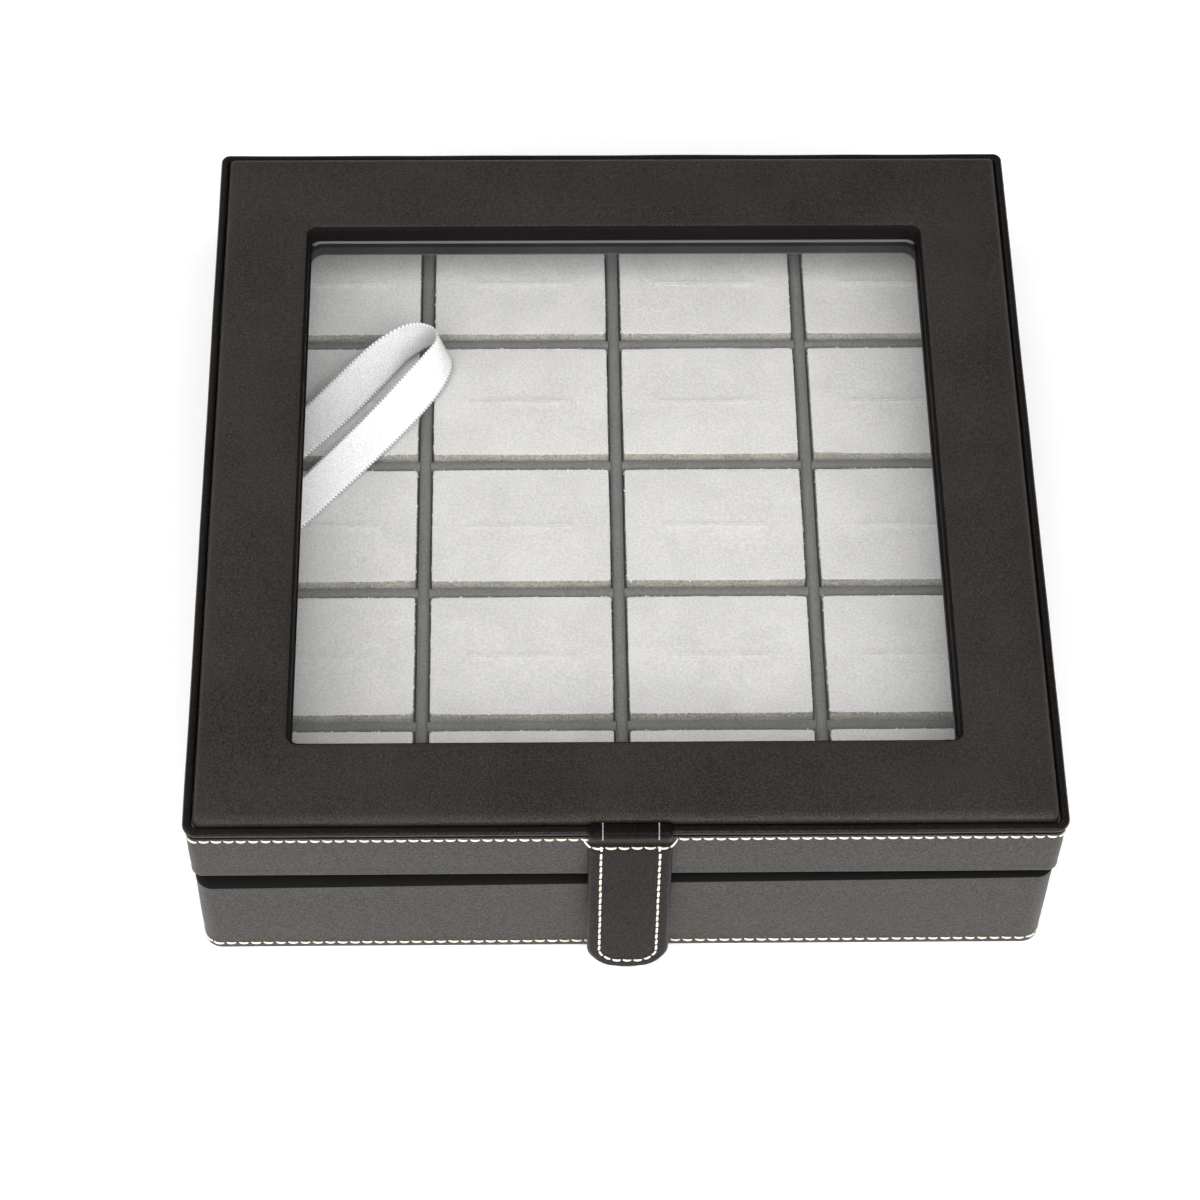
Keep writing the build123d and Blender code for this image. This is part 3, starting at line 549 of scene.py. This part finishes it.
def padded_top():
    """The pillowed leather frame, from the groove beside the piping down onto the glass."""
    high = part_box("lid_top_leather")[1]
    pane_low, pane_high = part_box("window_glass")
    rebate = 5.0 * MM
    outer_half = high[0]
    window = (pane_high[0] - rebate, (pane_high[1] - pane_low[1]) / 2 - rebate)
    window_y = (pane_high[1] + pane_low[1]) / 2
    board_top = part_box("lid_top_board")[1][2]
    rings = []
    steps, wall_steps, lip_steps = 44, 5, 6
    for step in range(steps + 1):
        share = 0.5 - 0.5 * math.cos(math.pi * step / steps)
        across = FRAME_WIDTH * share
        outer_drop = max(0.0, 1 - across / FRAME_OUTER_ROLL)
        window_drop = max(0.0, 1 - (FRAME_WIDTH - across) / FRAME_WINDOW_ROLL)
        crown = 0.35 * MM * (2 * share - 1) ** 2
        z = high[2] - crown
        z -= FRAME_OUTER_ROLL * 0.9 * (1 - math.sqrt(1 - outer_drop ** 2))
        z -= FRAME_WINDOW_ROLL * 0.8 * (1 - math.sqrt(1 - window_drop ** 2))
        half_x = outer_half + (window[0] - outer_half) * share
        half_y = outer_half + (window[1] - outer_half) * share
        swell = 0.6 * MM * share + 1.0 * MM * math.sin(math.pi * share)
        radius = ((1.0 + 1.4 * share) * MM + swell, 2.4 * MM + swell)
        points = ring(half_x, half_y, radius, z, (0, window_y * share))
        corner_puckers(points, window, window_y)
        ripple(points, 22.0, 0.14 * MM * math.sin(math.pi * share))
        rings.append(points)
    wall_top = z
    pane_top = pane_high[2] + 0.02 * MM
    lip = 0.5 * MM
    for step in range(1, wall_steps + 1):
        z = wall_top + (pane_top + 2 * lip - wall_top) * step / wall_steps
        rings.append(ring(*window, 3.0 * MM, z, (0, window_y)))
    for out, z in arc((0.0, pane_top + lip), lip, 90, -90, lip_steps):
        rings.append(ring(window[0] - out, window[1] - out, 3.0 * MM, z, (0, window_y)))
    behind = (window[0] + LEATHER, window[1] + LEATHER)
    rings.append(ring(*behind, 4.0 * MM, pane_top, (0, window_y)))
    rings.append(ring(*behind, 4.0 * MM, board_top + 1.5 * MM, (0, window_y)))
    rings.append(ring(outer_half - LEATHER, outer_half - LEATHER, 2.0 * MM, board_top + 0.6 * MM))
    rings.append(ring(outer_half, outer_half, (1.0 * MM, 2.4 * MM), board_top))
    mesh = skin("padded_frame_leather", rings)
    add_object("padded_frame_leather", mesh, LEATHER_TOP, "lid", ("lid_top_leather",))
    mesh.materials.append(WINDOW_ROLL_SHADE)
    mesh.materials.append(LIP_HIGHLIGHT_LEATHER)
    # Painted shade on the roll, the wall and the lip round the window.
    roll = steps - 5
    lip_row = steps + wall_steps
    for face in mesh.polygons:
        row = min(face.vertices) // len(rings[0])
        if roll <= row <= lip_row + lip_steps:
            # Painted highlight on the far lip only.
            far_lip = row >= lip_row and face.center.y > window_y + window[1] - 1.5 * MM
            face.material_index = 2 if far_lip else 1


def corner_puckers(points, window, window_y):
    """Small folds that radiate from the window's corners, where the leather turns in."""
    reach, margin = 5.0 * MM, 1.5 * MM
    for point in points:
        away = Vector((abs(point.x) - window[0] + margin, abs(point.y - window_y) - window[1] + margin))
        if away.length < reach and away.x > -margin and away.y > -margin:
            angle = math.atan2(away.y, away.x)
            fade = math.sin(math.pi * away.length / reach)
            point.z += 0.20 * MM * fade * math.cos(8 * (angle - math.radians(45)))


def piping():
    """The welt round the top: a round cord in thin leather, slightly uneven."""
    low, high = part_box("lid_piping")
    radius = (high[2] - low[2]) / 2
    middle = (high[2] + low[2]) / 2
    rings = []
    for out, z in arc((high[0] - radius, middle), radius, 0, 345, 23):
        offset = out - (high[0] - radius)
        points = ring(out, out, (BACK_CORNER + offset, LID_CORNER - 0.2 * MM + offset), z)
        ripple(points, 45.0, 0.12 * MM)
        rings.append(points)
    add_object("piping_cord", skin("piping_cord", rings), LEATHER_PIPING, "lid", ("lid_piping",))


def piping_section():
    """The middle and the radius of the cord where it runs along the front."""
    low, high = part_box("lid_piping")
    radius = (high[2] - low[2]) / 2
    return Vector((0, low[1] + radius, low[2] + radius)), radius


# ---- stitches ----
def along(points, distance):
    """Point and direction at a distance along a polyline."""
    for first, second in zip(points, points[1:]):
        length = (second - first).length
        if distance <= length:
            return first.lerp(second, distance / length), (second - first).normalized()
        distance -= length
    return points[-1].copy(), (points[-1] - points[-2]).normalized()


def length_of(points):
    """Length of a polyline."""
    return sum((b - a).length for a, b in zip(points, points[1:]))


def stitch(points, faces, start, end, outward, thread=THREAD):
    """One stitch: a short soft tube that rises out of a hole and dips into the next."""
    sections, sides = 7, 6
    across = (end - start).cross(outward).normalized()
    first = len(points)
    for row in range(sections):
        share = row / (sections - 1)
        lift = math.sin(math.pi * share) ** 0.6
        centre = start.lerp(end, share) + outward * (0.62 * thread * lift - 0.35 * thread)
        girth = thread / 2 * (0.72 + 0.28 * lift)
        for side in range(sides):
            angle = math.tau * side / sides
            points.append(centre + across * girth * math.cos(angle)
                          + outward * girth * 0.8 * math.sin(angle))
    for row in range(sections - 1):
        for side in range(sides):
            after = (side + 1) % sides
            a = first + row * sides
            faces.append((a + side, a + after, a + sides + after, a + sides + side))
    faces.append(tuple(first + side for side in range(sides)))
    faces.append(tuple(first + (sections - 1) * sides + side for side in range(sides)))


def stitch_row(name, route, outward_at, pitch, body, slant=0.06, skip=None, share=STITCH_SHARE):
    """A row of stitches along a route of points, with the dark needle holes between them."""
    points, faces, hole_points, hole_faces = [], [], [], []
    total = length_of(route)
    count = round(total / pitch)
    pitch = total / count
    draw = random.Random(name)
    for number in range(count):
        middle, direction = along(route, (number + 0.5) * pitch)
        outward = outward_at(middle)
        side = direction.cross(outward).normalized()
        if skip and skip(middle):
            continue
        reach = direction * pitch * (share + draw.uniform(-0.04, 0.02)) / 2
        tilt = side * pitch * (slant / 2 + draw.uniform(-0.02, 0.02))
        drift = side * draw.uniform(-0.05, 0.05) * MM
        stitch(points, faces, middle - reach - tilt + drift, middle + reach + tilt + drift, outward)
        hole, _ = along(route, number * pitch)
        needle_hole(hole_points, hole_faces, hole, direction, side, outward_at(hole))
    add_object(name, mesh_from(name, points, faces), THREAD_MATERIAL, body)
    holes = name + "_holes"
    add_object(holes, mesh_from(holes, hole_points, hole_faces), HOLE, body)


def needle_hole(points, faces, place, direction, side, outward):
    """A small dark spot, just clear of the leather."""
    first = len(points)
    for corner in range(6):
        angle = math.tau * corner / 6
        points.append(place + outward * 0.03 * MM + direction * 0.24 * MM * math.cos(angle)
                      + side * 0.22 * MM * math.sin(angle))
    faces.append(tuple(range(first, first + 6)))


def square_route(half, radius, z):
    """The closed way round a rounded square at one height."""
    points = ring(half, half, radius, z)
    return points + [points[0].copy()]


def away_from_middle(half, radius):
    """Outward direction on the wall of a rounded square."""
    def outward(point):
        inner = half - radius
        x = max(-inner, min(inner, point.x))
        y = max(-inner, min(inner, point.y))
        if abs(point.x) < inner and abs(point.y) < inner:
            return Vector((0, 0, 1))
        return Vector((point.x - x, point.y - y, 0)).normalized()
    return outward


def lid_seam_height():
    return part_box("lid_piping")[0][2] - LID_SEAM_DROP


def wall_seams():
    """The seams round the lid and the base. The lid's leaves out what the strap covers."""
    strap_low, strap_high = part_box("clasp_tab_face")

    def under_strap(point):
        return point.y < 0 and strap_low[0] < point.x < strap_high[0]

    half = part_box("lid_side_leather")[1][0] - 0.05 * MM
    stitch_row("lid_seam", square_route(half, LID_CORNER, lid_seam_height()),
               away_from_middle(half, LID_CORNER), LID_STITCH_PITCH, "lid", skip=under_strap)
    base_low, base_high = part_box("base_leather")
    half = base_high[0] - 0.05 * MM
    stitch_row("base_seam", square_route(half, BASE_CORNER, base_low[2] + BASE_SEAM_RISE),
               away_from_middle(half, BASE_CORNER), BASE_STITCH_PITCH, "base")


# ---- clasp strap ----
def strap_line():
    """The strap's middle line, from its sewn end over the piping to its tip, and its row at the fold."""
    centre, radius = piping_section()
    over = radius + 0.75 * MM
    points = []
    for angle in range(112, -31, -13):
        turn = math.radians(angle)
        points.append(centre + Vector((0, -over * math.cos(turn), over * math.sin(turn))))
    lid_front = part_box("lid_side_leather")[0][1]
    points.append(Vector((0, lid_front - 1.0 * MM, lid_seam_height() + 0.5 * MM)))
    fold_row = len(points)
    fold = next(Vector(j["pos_m"]) for j in frame["joints"] if j["name"] == "clasp_fold")
    fold.x = 0.0
    points.append(fold)
    tab_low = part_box("clasp_tab_face")[0]
    tip = Vector((0, tab_low[1] + 0.9 * MM, tab_low[2] + 0.1 * MM))
    for step in range(1, 25):
        share = step / 24
        point = fold.lerp(tip, share)
        point.y -= 0.5 * MM * math.sin(math.pi * share)
        points.append(point)
    return points, fold_row


def strap_outward(direction):
    """The strap's outer side, a quarter turn from the way that it runs."""
    return Vector((0, direction.z, -direction.y)).normalized()


def strap():
    """Both layers of the strap in one soft piece, thin over the piping, with its edges rounded."""
    line, fold_row = strap_line()
    tab_low, tab_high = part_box("clasp_tab_face")
    middle_x = (tab_low[0] + tab_high[0]) / 2
    half = (tab_high[0] - tab_low[0]) / 2
    length = length_of(line)
    columns, stations = 24, 96
    edge_width = 0.6 * MM
    top, bottom = [], []
    for row in range(stations + 1):
        distance = length * row / stations
        place, direction = along(line, distance)
        outward = strap_outward(direction)
        left = length - distance
        width = half
        if left < STRAP_CORNER:
            width += math.sqrt(max(0.0, STRAP_CORNER ** 2 - (STRAP_CORNER - left) ** 2)) - STRAP_CORNER
        share = min(1.0, max(0.0, (distance - 7 * MM) / (4 * MM)))
        depth = STRAP_THIN + (STRAP_THICK - STRAP_THIN) * share
        for column in range(columns + 1):
            x = -width + 2 * width * column / columns
            edge = max(0.0, (abs(x) - (width - edge_width)) / edge_width)
            rounding = math.sqrt(max(0.0, 1 - min(edge, 0.97) ** 2))
            centre = place + Vector((middle_x + x, 0, 0))
            top.append(centre + outward * depth * rounding)
            bottom.append(centre - outward * depth * rounding)
    size = columns + 1
    faces = []
    offset = len(top)
    for row in range(stations):
        for column in range(columns):
            a = row * size + column
            faces.append((a, a + 1, a + size + 1, a + size))
            faces.append((offset + a, offset + a + size, offset + a + size + 1, offset + a + 1))
        for a in (row * size, row * size + columns):
            faces.append((a, a + size, offset + a + size, offset + a))
    for column in range(columns):
        for a in (column, stations * size + column):
            faces.append((a, a + 1, offset + a + 1, offset + a))
    piece = add_object("clasp_strap", mesh_from("clasp_strap", top + bottom, faces), LEATHER_STRAP, None,
                       ("clasp_anchor", "clasp_tab_face", "clasp_tab_back"))
    piece.data.materials.append(STRAP_FOLD_SHADE)
    # Painted shade: the first length over the piping takes the darker copy of the strap's leather.
    for face in piece.data.polygons:
        if min(face.vertices) % offset // size < stations * STRAP_SHADE_LENGTH / length:
            face.material_index = 1
    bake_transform(piece)
    return line, fold_row, middle_x, half


def strap_stitches(line, fold_row, middle_x, half):
    """The row round the tab, and the seam that sews the strap to the lid."""
    inset = half - TAB_SEAM_INSET
    corner = STRAP_CORNER - TAB_SEAM_INSET
    start = length_of(line[:fold_row + 1]) + 2.2 * MM
    end = length_of(line) - TAB_SEAM_INSET
    quarter = [math.radians(90 * step / 8) for step in range(9)]
    route = []

    def to(x, distance):
        point, direction = along(line, distance)
        route.append(point + Vector((middle_x + x, 0, 0)) + strap_outward(direction) * STRAP_THICK)

    for step in range(30):
        to(-inset, start + (end - corner - start) * step / 29)
    for angle in quarter[1:]:
        to(-inset + corner - corner * math.cos(angle), end - corner + corner * math.sin(angle))
    for step in range(1, 8):
        to((-inset + corner) * (1 - 2 * step / 8), end)
    for angle in quarter:
        to(inset - corner + corner * math.sin(angle), end - corner + corner * math.cos(angle))
    for step in range(1, 30):
        to(inset, end - corner + (start - end + corner) * step / 29)
    front = strap_outward(route[20] - route[0])
    stitch_row("tab_seam", route, lambda point: front, TAB_STITCH_PITCH, "clasp_tab", slant=0.04,
               share=0.92)
    anchor_seam(line, middle_x, half, inset)


def anchor_seam(line, middle_x, half, inset):
    """The seam that sews the strap on: the lid's row steps out onto it and back at each edge."""
    forward = Vector((0, -1, 0))
    row_z = lid_seam_height()
    lid_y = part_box("lid_side_leather")[0][1]
    face_y = lid_y - 2 * LEATHER - 0.05 * MM
    sewn_z = row_z - ANCHOR_SEAM_DIP
    cross = [Vector((middle_x + side * (half - 0.8 * MM), face_y, sewn_z)) for side in (-1, 1)]
    stitch_row("anchor_seam", cross, lambda point: forward, LID_STITCH_PITCH, "lid")
    points, faces = [], []
    for side in (-1, 1):
        outside = Vector((middle_x + side * (half + 1.5 * MM), lid_y, row_z))
        inside = Vector((middle_x + side * (half - 0.6 * MM), face_y, sewn_z + 0.1 * MM))
        stitch(points, faces, outside, inside, forward)
        start = Vector((middle_x + side * inset, face_y, sewn_z + 0.4 * MM))
        end = start + Vector((-side * 0.2 * MM, 0, -2.4 * MM))
        stitch(points, faces, start, end, forward)
    add_object("anchor_corner_stitches", mesh_from("anchor_corner_stitches", points, faces),
               THREAD_MATERIAL, "lid")
    points, faces = [], []
    centre = piping_section()[0]
    over = [place for place in line if place.z > row_z + 0.5 * MM]
    for side in (-1, 1):
        for first, second in zip(over, over[1:]):
            outward = ((first + second) / 2 - centre).normalized()
            shift = Vector((middle_x + side * (inset - 0.4 * MM), 0, 0)) + outward * STRAP_THIN
            stitch(points, faces, first + shift, second + shift, outward, thread=FINE_THREAD)
    add_object("strap_threads", mesh_from("strap_threads", points, faces), THREAD_PALE, "lid")


# ---- pads and ribbon ----
def pad(name, node):
    """A velvet-covered foam pad: knife-cut edges that splay below the velvet, and a slit.

    Returns the middle, the half sizes and the height of its velvet face.
    """
    low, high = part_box(node)
    centre = Vector(((low[0] + high[0]) / 2, (low[1] + high[1]) / 2, 0))
    half_x, half_y = (high[0] - low[0]) / 2, (high[1] - low[1]) / 2
    draw = random.Random(name)
    bow = [draw.uniform(-0.1, 0.35) * MM for _ in range(4)]
    rings = []

    def level(out, z, gap, cut=0.0):
        """A ring from the slit, at out 0, to the pad's outline, at out 1, less the cut."""
        front = cut * PAD_FRONT_SPLAY / PAD_SPLAY
        x = SLIT_HALF + (half_x - cut - SLIT_HALF) * out
        y = gap + (half_y - (cut + front) / 2 - gap) * out
        middle = (centre.x, centre.y + (front - cut) / 2 * out)
        return ring(x, y, min(y, 0.6 * MM), z, middle, sides=26, corners=2)

    def trim(points):
        """Pull the outline in where the knife wandered, most towards the end of a side."""
        for point in points:
            across = Vector(((point.x - centre.x) / half_x, (point.y - centre.y) / half_y))
            inward = Vector((-math.copysign(bow[0 if across.x > 0 else 1] * across.y ** 2, across.x),
                             -math.copysign(bow[2 if across.y > 0 else 3] * across.x ** 2, across.y), 0))
            frayed = noise.noise(point * 1100.0) * 0.10 + noise.noise(point * 300.0) * 0.10
            outward = Vector((across.x ** 9, across.y ** 9, 0))
            point += inward - outward * (0.12 + frayed) * MM

    rings.append(level(0.0, high[2] - SLIT_DEPTH, SLIT_GAP))
    rings.append(level(0.0, high[2] - SLIT_MOUTH, SLIT_GAP))
    for share in PAD_FACE_STEPS:
        lip = -0.26 * MM * math.exp(-(share / 0.03) ** 2)
        points = level(share, high[2] - 0.12 * MM - lip - 0.30 * MM * share ** 3, SLIT_GAP, PAD_SPLAY)
        ripple(points, 60.0, 0.10 * MM)
        rings.append(points)
    edge = len(rings)
    for share, drop in PAD_EDGE_STEPS:
        points = level(1.0, high[2] - drop * MM, SLIT_GAP, PAD_SPLAY * share)
        trim(points)
        for point in points:
            point.z = max(low[2], point.z + noise.noise(point * 700.0) * 0.06 * MM)
        rings.append(points)
    mesh = skin(name, rings, closed=False, caps=True)
    size = len(rings[0])
    piece = add_object(name, mesh, PAD_VELVET, "tray", (node,))
    mesh.materials.append(PAD_EDGE)
    for face in mesh.polygons:
        if min(face.vertices) >= edge * size:
            face.material_index = 1
    middle = centre + Vector((0, (PAD_FRONT_SPLAY - PAD_SPLAY) / 2, 0))
    return middle, half_x - PAD_SPLAY, half_y - (PAD_FRONT_SPLAY + PAD_SPLAY) / 2, high[2]


def pad_fibres(name, places):
    """Loose fibres of the velvet and its backing that stand out of the cut edges."""
    draw = random.Random(name)
    points, faces = [], []
    for centre, half_x, half_y, top in places:
        tufts = [draw.uniform(-1, 1) for _ in range(9)]
        for _ in range(FIBRES_PER_PAD):
            along_x = draw.random() < half_x / (half_x + half_y)
            side = draw.choice((-1, 1))
            run = draw.uniform(-1, 1)
            if draw.random() < 0.45:
                run = max(-1.0, min(1.0, draw.choice(tufts) + draw.gauss(0, 0.015)))
            if along_x:
                root = Vector((centre[0] + run * half_x * 0.99, centre[1] + side * (half_y - 0.15 * MM), 0))
                outward = Vector((0, side, 0))
            else:
                root = Vector((centre[0] + side * (half_x - 0.15 * MM), centre[1] + run * half_y * 0.99, 0))
                outward = Vector((side, 0, 0))
            if draw.random() < 0.08:
                root = Vector((centre[0] + draw.uniform(-1, 1) * SLIT_HALF, centre[1] + side * 0.1 * MM, 0))
            root.z = top - draw.uniform(0.45, 0.7) * MM
            sideways = Vector((-outward.y, outward.x, 0)) * draw.uniform(-1, 1)
            reach = draw.uniform(0.15, 0.6) * MM
            lift = draw.uniform(-0.2, 0.3) * MM
            width = draw.uniform(0.05, 0.12) * MM
            middle = root + (outward * 0.5 + sideways * 0.5) * reach + Vector((0, 0, lift))
            end = root + (outward * 0.75 + sideways) * reach + Vector((0, 0, lift * 0.6))
            flat = Vector((0, 0, 1)).cross(outward + sideways).normalized() * width
            first = len(points)
            points += [root - flat, root + flat, middle - flat, middle + flat, end]
            faces += [(first, first + 1, first + 3, first + 2), (first + 2, first + 3, first + 4)]
    add_object(name, mesh_from(name, points, faces), LINT, "tray")


def all_pads():
    """The pads, row by row from the back, and the fibres on their edges."""
    places = []
    for row in range(ROWS):
        for column in range(COLUMNS):
            node = f"pad_r{row + 1}c{column + 1}"
            places.append(pad(f"velvet_{node}", node))
    pad_fibres("pad_fibres", places)


def ribbon_edges(centre, rise, plan_angle):
    """The two edge points of the ribbon at one station."""
    level = math.sqrt(RIBBON_WIDTH ** 2 - rise ** 2)
    turn = math.radians(plan_angle)
    half = Vector((level * math.cos(turn), level * math.sin(turn), rise)) / 2
    return (Vector(centre) - half) * MM, (Vector(centre) + half) * MM


def smooth_between(before, first, second, after, share):
    """A point on the smooth curve through four points in a row."""
    return 0.5 * ((2 * first) + (second - before) * share
                  + (2 * before - 5 * first + 4 * second - after) * share ** 2
                  + (3 * first - before - 3 * second + after) * share ** 3)


def smooth_line(points, steps):
    """The smooth curve through all the points, in steps between each two."""
    line = []
    last = len(points) - 1
    for number in range(last):
        around = [points[max(0, min(last, number + k))] for k in (-1, 0, 1, 2)]
        for step in range(steps):
            line.append(smooth_between(*around, step / steps))
    line.append(points[-1])
    return line


def ribbon():
    """The satin pull: one strip that leaves the wall, loops over the pads and comes back."""
    edges = [ribbon_edges(*station) for station in RIBBON_STATIONS]
    lower, upper = (smooth_line([pair[side] for pair in edges], 10) for side in (0, 1))
    across = 10
    points, faces, spots = [], [], []
    length = 0.0
    for row, (a, b) in enumerate(zip(lower, upper)):
        if row:
            length += ((a + b) / 2 - (lower[row - 1] + upper[row - 1]) / 2).length
        for column in range(across + 1):
            points.append(a.lerp(b, column / across))
            spots.append((length, column / across))
    size = across + 1
    for row in range(len(lower) - 1):
        for column in range(across):
            a = row * size + column
            faces.append((a, a + 1, a + size + 1, a + size))
    mesh = bpy.data.meshes.new("ribbon_loop")
    mesh.from_pydata([tuple(p) for p in points], [], faces)
    layer = mesh.uv_layers.new(name="ribbon")
    for loop in mesh.loops:
        layer.data[loop.index].uv = spots[loop.vertex_index]
    piece = add_object("ribbon_loop", mesh, SATIN, None, ("ribbon_pull",))
    thicken = piece.modifiers.new("thickness", "SOLIDIFY")
    thicken.thickness = RIBBON_THICKNESS
    thicken.offset = 0
    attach(piece, "tray")


# ---- carried-over construction nodes ----
def dress_nodes():
    """Finishes for the construction pieces that show as they are."""
    finishes = {
        "window_glass": GLASS, "glass_retainer": RETAINER_PAPER, "lid_lining": LINING_VELVET,
        "base_lining": LINING_VELVET, "tray_ledges": LINING_VELVET, "underside_felt": FELT,
        "lid_padding": FOAM, "tray_floor": LINING_VELVET, "tray_walls": LINING_VELVET,
        "tray_dividers_long": DIVIDER_VELVET, "tray_dividers_cross": DIVIDER_VELVET,
    }
    for name, node in frame["nodes"].items():
        if name in finishes:
            material = finishes[name]
        elif name.endswith("_board"):
            material = BOARD
        elif name.startswith(("hinge_", "snap_")):
            material = STEEL
        else:
            material = LEATHER_TOP
        node.data.materials.clear()
        node.data.materials.append(material)


# ---- stage ----
def camera():
    """The camera that took the photograph, as fitted to the box's corners."""
    data = bpy.data.cameras.new("camera")
    data.sensor_width = SENSOR
    data.lens = FOCAL_PIXELS / PHOTO_WIDTH * SENSOR
    data.clip_start = 0.01
    view = in_scene("camera", data)
    forward = Vector((math.sin(CAMERA_YAW) * math.cos(CAMERA_PITCH),
                      math.cos(CAMERA_YAW) * math.cos(CAMERA_PITCH), -math.sin(CAMERA_PITCH)))
    level = Vector((math.cos(CAMERA_YAW), -math.sin(CAMERA_YAW), 0))
    upward = level.cross(forward)
    right = math.cos(CAMERA_ROLL) * level + math.sin(CAMERA_ROLL) * upward
    above = math.cos(CAMERA_ROLL) * upward - math.sin(CAMERA_ROLL) * level
    turn = Matrix((right, above, -forward)).transposed()
    view.matrix_world = Matrix.Translation(CAMERA_PLACE) @ turn.to_4x4()
    bpy.context.scene.camera = view


def world():
    """A white surround for the camera, which lights the box only dimly."""
    sky = bpy.data.worlds.new("studio")
    bpy.context.scene.world = sky
    sky.use_nodes = True
    tree = sky.node_tree
    tree.nodes["Background"].inputs["Color"].default_value = (1, 1, 1, 1)
    node = add_node(tree, "ShaderNodeMapRange", **{"To Min": WORLD_GLOW, "To Max": 1.0})
    path = add_node(tree, "ShaderNodeLightPath")
    tree.links.new(path.outputs["Is Camera Ray"], node.inputs["Value"])
    tree.links.new(node.outputs["Result"], tree.nodes["Background"].inputs["Strength"])


def floor():
    """A white table that glows a little, so that its far parts stay white."""
    half = 3.0
    mesh = mesh_from("floor", [(-half, -half, 0), (half, -half, 0), (half, half, 0), (-half, half, 0)],
                     [(0, 1, 2, 3)])
    piece = in_scene("floor", mesh)
    material, tree, shader = new_material("white_table", (0.90, 0.90, 0.90), 0.6, specular=0.3)
    shader.inputs["Emission Color"].default_value = (1, 1, 1, 1)
    path = add_node(tree, "ShaderNodeLightPath")
    seen = maths(tree, "MULTIPLY", path.outputs["Is Camera Ray"], TABLE_GLOW)
    glow = maths(tree, "MULTIPLY_ADD", path.outputs["Is Glossy Ray"], TABLE_GLOW_MIRRORED, seen)
    tree.links.new(glow, shader.inputs["Emission Strength"])
    mesh.materials.append(material)


def lamp(name, place, target, size, power, mirrored=True):
    """A rectangular soft light, which glossy surfaces may or may not mirror."""
    data = bpy.data.lights.new(name, "AREA")
    data.shape = "RECTANGLE"
    data.size, data.size_y = size
    data.energy = power
    light = in_scene(name, data)
    light.location = place
    light.visible_glossy = mirrored
    light.rotation_euler = (Vector(target) - Vector(place)).to_track_quat("-Z", "Y").to_euler()


def lights():
    """The large lamp above the front gives the light, and the small ones the sheen on the walls."""
    lamp("soft_top", (0.0, -0.8, 1.3), (0, 0, 0.05), size=(3.0, 1.4), power=42.0, mirrored=False)
    lamp("soft_back", (-0.7, 1.3, 1.3), (0, 0, 0.05), size=(1.6, 0.8), power=2.0)
    lamp("soft_left", (-1.2, -0.5, 0.6), (0, 0, 0.03), size=(0.9, 0.6), power=3.0)
    lamp("soft_front", (0.4, -1.4, 0.5), (0, 0, 0.03), size=(1.2, 0.5), power=7.0)


bpy.context.scene.view_settings.view_transform = "Standard"
camera()
world()
floor()
lights()
dress_nodes()
wall_skin("base_wall_leather", "base_leather", "base", BASE_CORNER, top_round=2.4 * MM,
          bottom_round=0.8 * MM, turn_in=9.0 * MM, over_rim=True)
wall_skin("lid_wall_leather", "lid_side_leather", "lid", LID_CORNER, top_round=0.3 * MM,
          bottom_round=1.6 * MM, turn_in=4.5 * MM, over_rim=False)
padded_top()
piping()
wall_seams()
strap_stitches(*strap())
all_pads()
ribbon()
